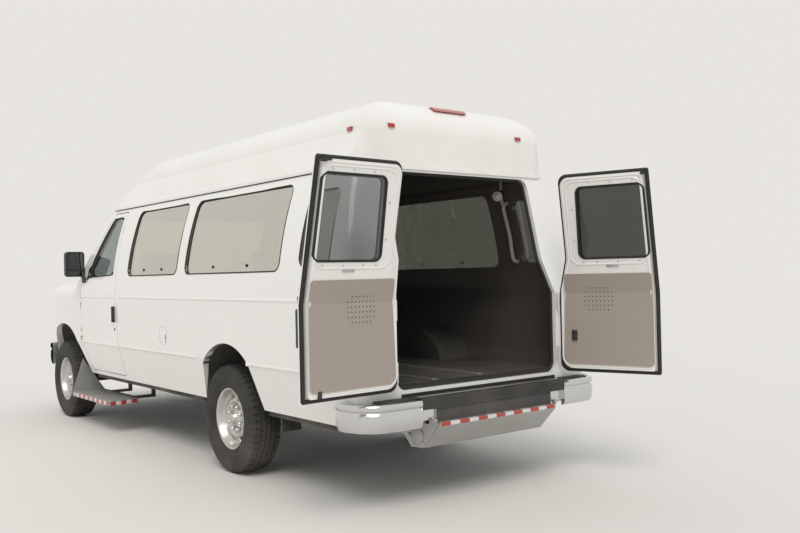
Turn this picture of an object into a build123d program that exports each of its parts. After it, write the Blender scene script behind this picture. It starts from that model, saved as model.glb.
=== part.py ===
"""A long, high-roofed van fitted out as an ambulance, in millimetres.

+X points forward, +Y to the van's left and +Z up. The origin is on the ground, midway between
the rear wheels. The two rear doors stand open.
"""
import os
from math import cos, radians, sin

from build123d import *

os.makedirs("parts", exist_ok=True)

# Running gear
WHEELBASE = 3505.0
TRACK_FRONT = 1763.0
TRACK_REAR = 1707.0
TYRE_R = 380.0
TYRE_W = 235.0
RIM_R = 203.0
RIM_FLANGE_R = 220.0
RIM_W = 190.0
SPINDLE_R = 34.0
SPINDLE_PLAY = 0.06
KINGPIN_OFFSET = 84.0
KINGPIN_R = 16.0
AXLE_R = 42.0

# Body outside, from the ground up: rocker, lower crease, belt crease, waist and roof gutter
SILL_Z, SILL_Y = 487.0, 930.0
CREASE_Z, CREASE_Y = 790.0, 1000.0
BELT_Z, BELT_Y = 1218.0, 1008.0
WAIST_Z, WAIST_Y = 1640.0, 952.0
GUTTER_Z, GUTTER_Y = 2010.0, 836.0
REAR_X = -1580.0
REAR_LEAN = 180.0
REAR_CORNER_R = 110.0
CABIN_END_X = 3330.0
NOSE_X = 4250.0
NOSE_TAPER_X = 3650.0
NOSE_ROUND_X, NOSE_ROUND_Y = 4030.0, 875.0
NOSE_CORNER_X, NOSE_CORNER_Y = 4210.0, 700.0
NOSE_FACE_X, NOSE_FACE_Y = 4240.0, 380.0
SHOULDER_FOOT_Y = 994.0
SHOULDER_MID_Z, SHOULDER_MID_Y = 1300.0, 966.0
SHOULDER_Z, SHOULDER_Y = 1352.0, 880.0
BONNET_CROWN_Z = 1405.0
BONNET_LINE = [(2500, 1425), (3480, 1376), (4040, 1240), (4188, 1160), (4252, 1010)]

# Body walls and the gaps round what opens
WALL = 45.0
FLANGE = 12.0
FLANGE_REACH = 30.0
GAP = 7.0
SEAT = 0.3

# Windshield: its foot at the pillars, its slope in degrees and its bulge at the middle
COWL_X, COWL_Z = 3075.0, 1350.0
WIND_SLOPE = 44.0
WIND_BULGE = 120.0
PILLAR_Y = 900.0
GLASS_T = 5.0
GLASS_DEPTH = 12.0

# Raised roof
ROOF_TOP_Z = 2492.0
ROOF_SIDE_Z, ROOF_SIDE_Y = 2235.0, 750.0
ROOF_EDGE_Z, ROOF_EDGE_Y = 2424.0, 593.0
ROOF_ROUND_Z, ROOF_ROUND_Y = 2352.0, 700.0
ROOF_WALL = 28.0
ROOF_REAR_X, ROOF_REAR_TOP = REAR_X + REAR_LEAN, (-1240.0, 2450.0)
ROOF_REAR_SLANT, ROOF_REAR_ROUND = 5.0, (50.0, 80.0)
ROOF_CROWN_X = 500.0
ROOF_CORNER_R = 155.0
ROOF_FALL_X, ROOF_FALL_Z = 1500.0, 2468.0
ROOF_BROW = (330.0, 2185.0)
ROOF_TAPER_X, ROOF_FRONT_X = 2400.0, 2540.0
DRIP_T = 12.0
DRIP_H = 18.0

# Hinges
PIN_R, BOSS_R = 6.0, 12.0
FRONT_PIN_R, FRONT_BOSS_R = 3.0, 6.0
HINGE_H = 40.0
HINGE_PLAY = 0.06
HINGE_END_PLAY = 1.0
HINGE_OUT = 15.0
FRONT_HINGE_OUT = 6.0
FRONT_HINGE_Z = (860.0, 1180.0)
SIDE_HINGE_Z = (800.0, 1160.0)

# Floor and frame
FLOOR_Z = 695.0
FLOOR_T = 40.0
COT_X = -400.0
COT_SPACING_X, COT_SPACING_Y = 1200.0, 400.0
COT_HOLE_R = 5.5
FIREWALL_X, FIREWALL_T, FIREWALL_TOP_Z = 2990.0, 25.0, 1330.0
RAIL_X = (-1560.0, 4150.0)
RAIL_Y, RAIL_W = 470.0, 80.0
RAIL_LOW_Z, RAIL_H = 500.0, 140.0
FLOOR_MOUNT_X = (-1300.0, -200.0, 900.0, 2000.0, 2800.0)
CROSSMEMBERS = [
    # x, z, length along x
    (-1500.0, 570.0, 70.0),
    (-500.0, 570.0, 70.0),
    (650.0, 570.0, 70.0),
    (1900.0, 570.0, 70.0),
    (4090.0, 570.0, 70.0),
]
FRONT_CROSSMEMBER_Z = (440.0, 500.0)
WELL_INNER_Y = (658.0, 540.0)
WELL_SHEET = 18.0
WELL_GAP = 12.0
WELL_LOW_Z = 560.0

# Axles, engine, exhaust and tank
BEAM_OFFSET = 60.0
BEAM_PIVOT_Y = 330.0
BEAM_LOW_Z, BEAM_TOP_Z = 340.0, 390.0
COIL_R = 38.0
EYE_R = 34.0
EYE_H = 80.0
KNUCKLE_ARM_Z = 58.0
SPINDLE_END = 55.0
HUB_FACE = 70.0
HAND_HOLES = 8
HAND_HOLE_R = 17.0
HAND_HOLE_CIRCLE_R = 148.0
DIFF_R = 145.0
DRIVE_SHAFT_R = 38.0
DRIVE_SHAFT_X, DRIVE_SHAFT_Z = 2498.0, 480.0
LEAF_HALF, LEAF_T, LEAF_W = 650.0, 30.0, 70.0
ENGINE_X = (2500.0, 3450.0)
ENGINE_Y = 280.0
ENGINE_Z = (500.0, 1120.0)
ENGINE_HOLE_Y = 330.0
ENGINE_MOUNT_X = 3000.0
PIPE_R = 24.0
PIPE_PATH = [(2560, -250, 500), (2560, -250, 430), (820, -250, 430), (720, -370, 430), (720, -950, 430)]
MUFFLER_X = (950.0, 1500.0)
MUFFLER_Y, MUFFLER_Z, MUFFLER_R = -250.0, 430.0, 90.0
TANK_X = (-1400.0, -560.0)
TANK_Y = 380.0
TANK_Z = (400.0, 620.0)

# Bumpers, as points from the middle to the corner and the end of the wrap, and steps
FRONT_BUMPER = [(4331, 0), (4260, 720), (3960, 985)]
FRONT_BUMPER_MIDS = [(4320, 380), (4110, 865)]
FRONT_BUMPER_Z = (500.0, 720.0)
REAR_BUMPER = [(-1700, 606), (-1690, 880), (-1430, 1000)]
REAR_BUMPER_MIDS = [(-1698.5, 740), (-1592, 984)]
REAR_BUMPER_Z = (485.0, 640.0)
BUMPER_BEAM_Z = (520.0, 600.0)
REAR_PAD_LOW_Z = 583.0
REAR_VALANCE_Y, REAR_VALANCE_Z = 560.0, 655.0
STEP_Y = 495.0
STEP_TRAY = [(-1730, 480), (-1730, 503), (-1667, 503), (-1667, 491), (-1712, 491), (-1584, 349), (-1593, 338)]
STEP_SIDE = [
    (-1640, 520),
    (-1683, 520),
    (-1683, 502),
    (-1728, 502),
    (-1590, 338),
    (-1470, 330),
    (-1400, 400),
    (-1400, 430),
    (-1560, 485),
    (-1640, 485),
]
STEP_PLATE_X = (-1693.0, -1685.0)
STEP_PLATE_Z = (497.0, 580.0)
SIDE_STEP = [(3040, 1068), (2057, 1064), (2100, 787), (2253, 747), (3040, 760)]
SIDE_STEP_Z = (261.0, 300.0)
SIDE_STEP_BRACKETS = (2395.0, 2980.0)
GUARD_X = 3028.0
GUARD = [(760, 300), (1068, 300), (967, 612)]

# Lamps on the roof
LAMP_PROUD = 10.0
ROOF_LAMPS = [
    # x, y and z of the middle, then length, width and height
    (-1392.0, 545.0, 2271.0, 90.0, 46.0, 24.0),
    (-1392.0, -545.0, 2271.0, 90.0, 46.0, 24.0),
    (-1255.0, 740.0, 2252.0, 46.0, 120.0, 24.0),
    (-1255.0, -740.0, 2252.0, 46.0, 120.0, 24.0),
    (-1290.0, 0.0, 2425.0, 120.0, 280.0, 26.0),
]

# Cab and load space
DASH_X = (2700.0, 2960.0)
DASH_Z = (1000.0, 1290.0)
COVER_TOP_Z = 1160.0
COVER_X = 2300.0
WHEEL_CENTRE = (2580.0, 545.0, 1215.0)
WHEEL_TILT = 35.0
STEERING_R = 190.0
SEAT_X = (2060.0, 2430.0)
SEAT_Y, SEAT_W = 560.0, 440.0
SEAT_Z = 1060.0
SEAT_LEAN = 12.0
GRAB_RAIL = [(-990, -870, 1880), (-990, -790, 1870), (-990, -862, 1640), (-990, -893, 1450), (-990, -960, 1440)]

# Openings in the sides: the front door, the cargo doors and the windows
FRONT_DOOR = [(1962, 520), (2800, 520), (2955, 800), (2955, 1290), (2385, 1978), (2062, 1978), (2030, 1300)]
FRONT_DOOR_GLASS = [(2105, 1408), (2800, 1392), (2375, 1935), (2125, 1938)]
FRONT_DOOR_HINGE_X = 2951.5
CARGO_DOOR_X0, CARGO_DOOR_X1 = 810.0, 1925.0
CARGO_DOOR_SPLIT_X = 1275.0
DOOR_LOW_Z, DOOR_TOP_Z = 520.0, 1978.0
CARGO_GLASS_RIM = 75.0
PANEL_SPLIT_X = 2015.0
FRONT_HANDLE_X = (2051.0, 2071.0)
FRONT_HANDLE_Z = (999.0, 1134.0)
MIRROR_X, MIRROR_T = 2900.0, 80.0
MIRROR_Y = (992.0, 1165.0)
MIRROR_Z = (1408.0, 1646.0)
MIRROR_FOOT_X, MIRROR_FOOT_Y, MIRROR_FOOT_Z = 2845.0, 985.0, 1375.0
WINDOW_LOW_Z, WINDOW_TOP_Z = 1402.0, 1955.0
WINDOW_R = 62.0

# Hood, windshield and nose
HOOD_X0, HOOD_X1 = 3240.0, 4120.0
HOOD_Y0, HOOD_Y1 = 820.0, 735.0
HOOD_LOW_Z = 1080.0
HOOD_STOP_Y = 480.0
HOOD_AXIS_X, HOOD_AXIS_Z = 3243.5, 1406.5
HOOD_HINGE_Y = (-300.0, 300.0)
WINDSHIELD = [(-890, 1400), (890, 1400), (790, 1955), (-790, 1955)]
HEAD_LAMP_Y = (520.0, 800.0)
HEAD_LAMP_Z = (850.0, 1040.0)
GRILLE_Y = 490.0
GRILLE_Z = (790.0, 1060.0)
VALANCE_X, VALANCE_Y, VALANCE_Z = 4020.0, 760.0, 650.0
SUPPORT_X, SUPPORT_Y, SUPPORT_Z = 4050.0, 990.0, 1100.0
TAIL_LAMP_Y = (800.0, 910.0)
TAIL_LAMP_Z = (880.0, 1160.0)

# Rear doors
REAR_SILL_Z, REAR_HEAD_Z = 690.0, 1995.0
REAR_OPENING_Y = 682.0
REAR_OPENING_MID_Z, REAR_OPENING_MID_Y = 1450.0, 613.0
REAR_OPENING_TOP_Y = 606.0
REAR_DOOR_R = 60.0
REAR_HINGE_Y = 700.0
REAR_HINGE_X = REAR_X - HINGE_OUT
REAR_FRAME = [
    # distance from the middle, height, corner radius
    (FLANGE_REACH + GAP / 2, 722.0, 12.0),
    (655.0, 722.0, 80.0),
    (655.0, 1226.0, 90.0),
    (588.0, 1445.0, 90.0),
    (578.0, 1965.0, 60.0),
    (FLANGE_REACH + GAP / 2, 1965.0, 12.0),
]
REAR_GLASS = [(36.0, 1443.0, 40.0), (500.0, 1443.0, 40.0), (475.0, 1897.0, 40.0), (45.0, 1897.0, 40.0)]
REAR_GLASS_IN = 20.0
REAR_TRIM = [(34.0, 750.0, 35.0), (640.0, 750.0, 55.0), (620.0, 1345.0, 20.0), (34.0, 1345.0, 20.0)]
TRIM_T = 6.0
LEFT_REAR_OPEN = 176.0
RIGHT_REAR_OPEN = 108.0

# Wheel arches: knees and feet from the axle, and the crown's height
ARCHES = [
    # axle x, rear foot, rear knee x, rear knee z, crown x, crown z, front knee x, front knee z, front foot
    (0.0, -463.0, -372.0, 783.0, -10.0, 912.0, 330.0, 745.0, 400.0),
    (WHEELBASE, -635.0, -470.0, 720.0, -50.0, 943.0, 430.0, 720.0, 505.0),
]


def save(part, name):
    part.label = name
    export_step(part, f"parts/{name}.step")


def mirrored_range(low, high):
    """A range of Y on the left and the same range on the right."""
    return [(low, high), (-high, -low)]


# The outer form of the body


def upper_body(inset, overrun):
    """Everything from the belt crease up to the gutter, lofted through three plan sections."""
    sections = [
        # z, half width, how far the rear has leant forward
        (BELT_Z, BELT_Y, 0.0),
        (WAIST_Z, WAIST_Y, REAR_LEAN * (WAIST_Z - BELT_Z) / (GUTTER_Z - BELT_Z)),
        (GUTTER_Z, GUTTER_Y, REAR_LEAN),
    ]
    with BuildPart() as upper:
        for z, half_width, lean in sections:
            rear_x = REAR_X + lean + inset
            side_y = half_width - inset
            with BuildSketch(Plane.XY.offset(z)):
                with BuildLine():
                    Line((rear_x, 0), (rear_x, side_y - REAR_CORNER_R))
                    RadiusArc((rear_x, side_y - REAR_CORNER_R), (rear_x + REAR_CORNER_R, side_y), REAR_CORNER_R)
                    Line((rear_x + REAR_CORNER_R, side_y), (CABIN_END_X, side_y))
                    Polyline((CABIN_END_X, side_y), (CABIN_END_X, 0), (rear_x, 0))
                make_face()
                mirror(about=Plane.XZ)
        loft()
        if overrun:
            extrude(upper.faces().sort_by(Axis.Z)[-1], amount=overrun)
    return upper.part


def body_plan(inset):
    """The body seen from above at the belt, with rounded rear corners and a tapered nose."""
    side_y = BELT_Y - inset
    rear_x = REAR_X + inset
    corner = (NOSE_CORNER_X - inset, NOSE_CORNER_Y - inset)
    with BuildSketch() as plan:
        with BuildLine():
            Line((rear_x, 0), (rear_x, side_y - REAR_CORNER_R))
            RadiusArc((rear_x, side_y - REAR_CORNER_R), (rear_x + REAR_CORNER_R, side_y), REAR_CORNER_R)
            Line((rear_x + REAR_CORNER_R, side_y), (NOSE_TAPER_X, side_y))
            ThreePointArc((NOSE_TAPER_X, side_y), (NOSE_ROUND_X - inset, NOSE_ROUND_Y - inset), corner)
            ThreePointArc(corner, (NOSE_FACE_X - inset, NOSE_FACE_Y), (NOSE_X - inset, 0))
            Line((NOSE_X - inset, 0), (rear_x, 0))
        make_face()
        mirror(about=Plane.XZ)
    return plan.sketch


def lower_body(inset, low_z):
    """Everything below the belt crease, with the fender tops and the hood's crown."""
    with BuildPart() as lower:
        with BuildSketch(Plane.YZ.offset(REAR_X)):
            with BuildLine():
                Polyline(
                    (0, low_z),
                    (SILL_Y - inset, low_z),
                    (SILL_Y - inset, SILL_Z + 1),
                    (CREASE_Y - inset, CREASE_Z),
                    (BELT_Y - inset, BELT_Z),
                    (0, BELT_Z),
                    (0, low_z),
                )
            make_face()
            mirror(about=Plane.YZ)
        extrude(amount=NOSE_X - REAR_X)
        with BuildSketch(Plane.YZ.offset(PANEL_SPLIT_X)):
            with BuildLine():
                Line((0, BELT_Z), (SHOULDER_FOOT_Y - inset, BELT_Z))
                ThreePointArc(
                    (SHOULDER_FOOT_Y - inset, BELT_Z),
                    (SHOULDER_MID_Y - inset, SHOULDER_MID_Z - inset / 2),
                    (SHOULDER_Y - inset, SHOULDER_Z - inset),
                )
                ThreePointArc(
                    (SHOULDER_Y - inset, SHOULDER_Z - inset),
                    (SHOULDER_Y / 2, BONNET_CROWN_Z - 14 - inset),
                    (0, BONNET_CROWN_Z - inset),
                )
                Line((0, BONNET_CROWN_Z - inset), (0, BELT_Z))
            make_face()
            mirror(about=Plane.YZ)
        extrude(amount=NOSE_X - PANEL_SPLIT_X)
        add(extrude(body_plan(inset), amount=BELT_Z + WHEELBASE, mode=Mode.PRIVATE), mode=Mode.INTERSECT)
        with BuildSketch(Plane.XZ):
            with BuildLine():
                cowl, middle, brow, lip, nose = BONNET_LINE
                cowl, middle, brow = [(x, z - inset) for x, z in (cowl, middle, brow)]
                lip, nose = [(x - inset, z) for x, z in (lip, nose)]
                ThreePointArc(cowl, middle, brow)
                ThreePointArc(brow, lip, nose)
                Polyline(
                    nose,
                    (NOSE_X + 200, nose[1]),
                    (NOSE_X + 200, ROOF_TOP_Z),
                    (cowl[0], ROOF_TOP_Z),
                    cowl,
                )
            make_face()
        extrude(amount=BELT_Y + WALL, both=True, mode=Mode.SUBTRACT)
    return lower.part


WIND_PLANE = Plane(
    origin=(COWL_X, 0, COWL_Z),
    x_dir=(0, 1, 0),
    z_dir=(-cos(radians(WIND_SLOPE)), 0, sin(radians(WIND_SLOPE))),
)


def ahead_of_glass(depth):
    """The space ahead of a bulged surface that lies this deep behind the windshield's face."""
    reach = 1300.0
    with BuildPart() as space:
        with BuildSketch(WIND_PLANE):
            with BuildLine():
                ThreePointArc((-PILLAR_Y, depth), (0, depth - WIND_BULGE), (PILLAR_Y, depth))
                Polyline(
                    (PILLAR_Y, depth),
                    (reach, depth + WIND_BULGE),
                    (reach, -reach),
                    (-reach, -reach),
                    (-reach, depth + WIND_BULGE),
                    (-PILLAR_Y, depth),
                )
            make_face()
        extrude(amount=reach, both=True)
    return space.part


def body_form(inset, low_z, overrun):
    """The whole body as one solid, drawn in by an inset."""
    cabin = upper_body(inset, overrun) - ahead_of_glass(inset)
    return lower_body(inset, low_z) + cabin


outer_form = body_form(0, SILL_Z, 0)
inner_form = body_form(WALL, SILL_Z - 100, 60)
flange_form = body_form(FLANGE, SILL_Z - 100, 60)
glass_form = body_form(GLASS_DEPTH, SILL_Z - 100, 60)
glass_back_form = body_form(GLASS_DEPTH + GLASS_T, SILL_Z - 100, 60)
lining_form = body_form(WALL + SEAT, SILL_Z - 100, 60)
trim_form = body_form(WALL + TRIM_T, SILL_Z - 100, 60)
shell = outer_form - inner_form
pane = glass_form - glass_back_form


# Cutters seen from the side and from behind


def side_cutter(points, corner_r, side, margin=0.0):
    """A prism through one side wall; side is 1 for the left and -1 for the right."""
    with BuildPart() as cutter:
        with BuildSketch(Plane.XZ):
            with BuildLine():
                FilletPolyline(*points, radius=corner_r, close=True)
            make_face()
            if margin:
                offset(amount=-margin)
        extrude(amount=-side * (BELT_Y + 2 * WALL))
    return cutter.part


def slab(x0, x1, y0, y1, z0, z1):
    with BuildPart() as block:
        with Locations(((x0 + x1) / 2, (y0 + y1) / 2, (z0 + z1) / 2)):
            Box(x1 - x0, y1 - y0, z1 - z0)
    return block.part


def rectangle(x0, x1, z0, z1):
    return [(x0, z0), (x1, z0), (x1, z1), (x0, z1)]


def arch_points(arch, grow=0.0):
    axle, rear_foot, rear_knee, rear_z, crown, crown_z, front_knee, front_z, front_foot = arch
    return [
        (axle + rear_foot - grow, SILL_Z - 1),
        (axle + rear_knee - grow, rear_z),
        (axle + crown, crown_z + grow),
        (axle + front_knee + grow, front_z),
        (axle + front_foot + grow, SILL_Z - 1),
    ]


def arch_prism(arch, grow, y0, y1):
    """The wheel arch's outline as a prism between two distances from the centre plane, on both sides."""
    rear_foot, rear_knee, crown, front_knee, front_foot = arch_points(arch, grow)
    with BuildPart() as prism:
        with BuildSketch(Plane.XZ.offset(y0)):
            with BuildLine():
                Line(rear_foot, rear_knee)
                ThreePointArc(rear_knee, crown, front_knee)
                Polyline(front_knee, front_foot, rear_foot)
            make_face()
        extrude(amount=y1 - y0)
        mirror(about=Plane.XZ)
    return prism.part


arches = [arch_prism(arch, 0.0, WELL_INNER_Y[1] - 60, BELT_Y + WALL) for arch in ARCHES]


def rear_prism(corners, side):
    """A prism through the rear wall; side is 1 for the left and -1 for the right.

    Each corner is its distance from the middle, its height and its radius.
    """
    with BuildPart() as prism:
        with BuildSketch(Plane.YZ.offset(REAR_X - WALL)) as outline:
            with BuildLine():
                Polyline(*[(side * y, z) for y, z, radius in corners], close=True)
            make_face()
            for y, z, radius in corners:
                if radius:
                    fillet(outline.vertices().sort_by_distance((side * y, z))[0], radius)
        extrude(amount=REAR_LEAN + 4 * WALL)
    return prism.part


def rear_cutter(side, margin):
    """One rear door's outline through the rear wall, up to the centre line."""
    low_z, head_z = REAR_SILL_Z + margin, REAR_HEAD_Z - margin
    split_y = GAP / 2 if margin else 0.0
    corners = [
        (split_y, low_z, 0.0),
        (REAR_OPENING_Y - margin, low_z, REAR_DOOR_R),
        (REAR_OPENING_Y - margin, BELT_Z, REAR_DOOR_R),
        (REAR_OPENING_MID_Y - margin, REAR_OPENING_MID_Z, REAR_DOOR_R),
        (REAR_OPENING_TOP_Y - margin, head_z, REAR_DOOR_R),
        (split_y, head_z, 0.0),
    ]
    return rear_prism(corners, side)


# Fixed panels

WINDOWS = {
    # name: rear x, front x, low z, top z, corner radius, which sides
    "front": (758.0, 1765.0, WINDOW_LOW_Z, WINDOW_TOP_Z, WINDOW_R, (1,)),
    "middle": (-788.0, 612.0, WINDOW_LOW_Z, WINDOW_TOP_Z, WINDOW_R, (1, -1)),
    "quarter": (-1350.0, -1020.0, WINDOW_LOW_Z + 25, WINDOW_TOP_Z - 65, WINDOW_R, (1, -1)),
}
front_door_cut = {side: side_cutter(FRONT_DOOR, 30, side) for side in (1, -1)}
cargo_cut = side_cutter(rectangle(CARGO_DOOR_X0, CARGO_DOOR_X1, DOOR_LOW_Z, DOOR_TOP_Z), 40, -1)
rear_cut = {side: rear_cutter(side, 0.0) for side in (1, -1)}

skin = outer_form - flange_form
tail_lamp_blocks = [slab(REAR_X - 10, REAR_X + 60, *ys, *TAIL_LAMP_Z) for ys in mirrored_range(*TAIL_LAMP_Y)]
tail_lamps = [skin & block for block in tail_lamp_blocks]
glass_panes = []
side_panels = {}
for side, name in ((1, "left_side_panel"), (-1, "right_side_panel")):
    with BuildPart() as side_panel:
        add(shell & slab(REAR_X, PANEL_SPLIT_X, min(0, side * 1100), max(0, side * 1100), 0, GUTTER_Z))
        add(front_door_cut[side], mode=Mode.SUBTRACT)
        add(rear_cut[side], mode=Mode.SUBTRACT)
        add(arches[0], mode=Mode.SUBTRACT)
        for x0, x1, z0, z1, corner_r, sides in WINDOWS.values():
            if side in sides:
                window = side_cutter(rectangle(x0, x1, z0, z1), corner_r, side)
                add(window, mode=Mode.SUBTRACT)
                glass_panes.append(pane & window)
        if side < 0:
            add(cargo_cut, mode=Mode.SUBTRACT)
        for lamp in tail_lamps:
            add(lamp, mode=Mode.SUBTRACT)
        add(slab(REAR_X, REAR_X + 2 * WALL, -REAR_VALANCE_Y, REAR_VALANCE_Y, 0, REAR_VALANCE_Z), mode=Mode.SUBTRACT)
    side_panels[side] = side_panel.part

with BuildPart() as side_glass:
    for glass_pane in glass_panes:
        add(glass_pane)
save(side_glass.part, "side_glass")

# The front body, with the openings for its doors, hood, glass, grille and lamps


def plan_cutter(points, corner_r, z0, z1, margin=0.0):
    """A vertical prism between two heights."""
    with BuildPart() as cutter:
        with BuildSketch(Plane.XY.offset(z0)):
            with BuildLine():
                FilletPolyline(*points, radius=corner_r, close=True)
            make_face()
            if margin:
                offset(amount=-margin)
        extrude(amount=z1 - z0)
    return cutter.part


hood_outline = [(HOOD_X0, -HOOD_Y0), (HOOD_X1, -HOOD_Y1), (HOOD_X1, HOOD_Y1), (HOOD_X0, HOOD_Y0)]
hood_opening = plan_cutter(hood_outline, 40, HOOD_LOW_Z, GUTTER_Z)
hood_cutter = plan_cutter(hood_outline, 40, HOOD_LOW_Z, GUTTER_Z, GAP)

with BuildPart() as windshield_cutter:
    with BuildSketch(Plane.YZ.offset(PANEL_SPLIT_X)):
        with BuildLine():
            FilletPolyline(*WINDSHIELD, radius=60, close=True)
        make_face()
    extrude(amount=CABIN_END_X - PANEL_SPLIT_X)

head_lamp_blocks = [slab(NOSE_X - 260, NOSE_X + 10, *ys, *HEAD_LAMP_Z) for ys in mirrored_range(*HEAD_LAMP_Y)]
grille_block = slab(NOSE_X - 150, NOSE_X + 10, -GRILLE_Y, GRILLE_Y, *GRILLE_Z)

with BuildPart() as head_lamps:
    for block in head_lamp_blocks:
        add(skin & block)
save(head_lamps.part, "head_lamps")

with BuildPart() as grille:
    add(skin & grille_block)
    slots = 4
    pitch = (GRILLE_Z[1] - GRILLE_Z[0]) / slots
    for row in range(slots):
        z = GRILLE_Z[0] + (row + 0.5) * pitch
        with Locations((NOSE_X, 0, z)):
            Box(200, 2 * GRILLE_Y - 60, pitch - 22, mode=Mode.SUBTRACT)
save(grille.part, "grille")

with BuildPart() as front_body:
    add(shell & slab(PANEL_SPLIT_X, NOSE_X, -BELT_Y, BELT_Y, 0, GUTTER_Z))
    for cut in (*front_door_cut.values(), hood_opening, windshield_cutter.part, arches[1], grille_block):
        add(cut, mode=Mode.SUBTRACT)
    for block in head_lamp_blocks:
        add(skin & block, mode=Mode.SUBTRACT)
    add(slab(VALANCE_X, NOSE_X + 10, -VALANCE_Y, VALANCE_Y, 0, VALANCE_Z), mode=Mode.SUBTRACT)
    add(slab(SUPPORT_X, SUPPORT_X + 30, -SUPPORT_Y, SUPPORT_Y, RAIL_LOW_Z + RAIL_H, SUPPORT_Z) & flange_form)
    with BuildPart(mode=Mode.PRIVATE) as hood_stops:
        with Locations((SUPPORT_X + 15, -HOOD_STOP_Y, SUPPORT_Z - 20), (SUPPORT_X + 15, HOOD_STOP_Y, SUPPORT_Z - 20)):
            Cylinder(13, 260, align=(Align.CENTER, Align.CENTER, Align.MIN))
    add(hood_stops.part & lining_form.moved(Location((0, 0, -1))))

with BuildPart() as windshield:
    add(pane & windshield_cutter.part)
save(windshield.part, "windshield")


def turned(part, axis_x, axis_y, degrees):
    """A part turned about a vertical axis."""
    return part.rotate(Axis((axis_x, axis_y, 0), (0, 0, 1)), degrees)


def rod(start, end, radius):
    """A round bar between two points."""
    along = Vector(*end) - Vector(*start)
    with BuildPart() as bar:
        with BuildSketch(Plane(origin=start, z_dir=along)):
            Circle(radius)
        extrude(amount=along.length)
    return bar.part


def hinge_halves(axis_x, axis_y, heights, pin_r, boss_r, fixed_web, moving_web):
    """The fixed and the moving half of the hinges on one vertical axis.

    A web is the x0, x1, y0, y1 of the plate that ties a half to its panel.
    """
    with BuildPart() as fixed:
        for z in heights:
            with Locations((axis_x, axis_y, z)):
                Cylinder(pin_r, 3 * HINGE_H)
            for lug_z in (z - HINGE_H, z + HINGE_H):
                with Locations((axis_x, axis_y, lug_z)):
                    Cylinder(boss_r, HINGE_H - HINGE_END_PLAY)
                half = (HINGE_H - HINGE_END_PLAY) / 2
                add(slab(*fixed_web, lug_z - half, lug_z + half))
    with BuildPart() as moving:
        for z in heights:
            half = (HINGE_H - HINGE_END_PLAY) / 2
            with Locations((axis_x, axis_y, z)):
                Cylinder(boss_r, 2 * half)
            add(slab(*moving_web, z - half, z + half))
            with Locations((axis_x, axis_y, z)):
                Cylinder(pin_r + HINGE_PLAY, HINGE_H, mode=Mode.SUBTRACT)
    return fixed.part, moving.part


# Front doors, with their glass and mirrors

front_axis_y = BELT_Y + FRONT_HINGE_OUT
front_hinges = {}
for side, word in ((1, "left"), (-1, "right")):
    outline = side_cutter(FRONT_DOOR, 30, side, GAP)
    reach_back = [(x + FLANGE_REACH, z) for x, z in FRONT_DOOR]
    behind_flange = side_cutter(reach_back, 30, side, GAP)
    web_y = sorted((side * (BELT_Y - 10), side * (front_axis_y + 2)))
    fixed, moving = hinge_halves(
        FRONT_DOOR_HINGE_X,
        side * front_axis_y,
        FRONT_HINGE_Z,
        FRONT_PIN_R,
        FRONT_BOSS_R,
        (FRONT_DOOR_HINGE_X, FRONT_DOOR_HINGE_X + 34, *web_y),
        (FRONT_DOOR_HINGE_X - 34, FRONT_DOOR_HINGE_X, *web_y),
    )
    front_hinges[side] = fixed
    glass_cut = side_cutter(FRONT_DOOR_GLASS, 60, side)
    with BuildPart() as front_door:
        add(skin & outline)
        add(shell & outline & behind_flange)
        add(moving)
        add(slab(*FRONT_HANDLE_X, *sorted((side * (BELT_Y - 10), side * (BELT_Y + 20))), *FRONT_HANDLE_Z))
        add(glass_cut, mode=Mode.SUBTRACT)
    save(front_door.part, f"front_door_{word}")
    save(pane & glass_cut, f"front_door_glass_{word}")

    with BuildPart() as mirror_head:
        with Locations((MIRROR_X, side * (MIRROR_Y[0] + MIRROR_Y[1]) / 2, (MIRROR_Z[0] + MIRROR_Z[1]) / 2)):
            Box(MIRROR_T, MIRROR_Y[1] - MIRROR_Y[0], MIRROR_Z[1] - MIRROR_Z[0])
        fillet(mirror_head.edges().filter_by(Axis.X), 30)
        fillet(mirror_head.faces().sort_by(Axis.X)[-1].edges(), 22)
        foot = (MIRROR_FOOT_X, side * MIRROR_FOOT_Y, MIRROR_FOOT_Z)
        add(rod(foot, (MIRROR_X, side * (MIRROR_Y[0] + 50), MIRROR_Z[0] + 50), 15))
        with Locations((MIRROR_FOOT_X, side * MIRROR_FOOT_Y, MIRROR_FOOT_Z)):
            Box(70, 60, 50)
    mirror_part = mirror_head.part - outer_form
    save(mirror_part, f"mirror_{word}")

with BuildPart() as front_body_whole:
    add(front_body.part)
    for fixed in front_hinges.values():
        add(fixed)
    for y in HOOD_HINGE_Y:
        with Locations(Location((HOOD_AXIS_X, y, HOOD_AXIS_Z), (90, 0, 0))):
            Cylinder(FRONT_PIN_R, 3 * HINGE_H)
        for lug_y in (y - HINGE_H, y + HINGE_H):
            with Locations(Location((HOOD_AXIS_X, lug_y, HOOD_AXIS_Z), (90, 0, 0))):
                Cylinder(FRONT_BOSS_R, HINGE_H - HINGE_END_PLAY)
            with Locations((HOOD_AXIS_X - 15, lug_y, HOOD_AXIS_Z - 8)):
                Box(30, HINGE_H - HINGE_END_PLAY, 20)
save(front_body_whole.part, "front_body")

# The hood, rebated along its front edge

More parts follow.
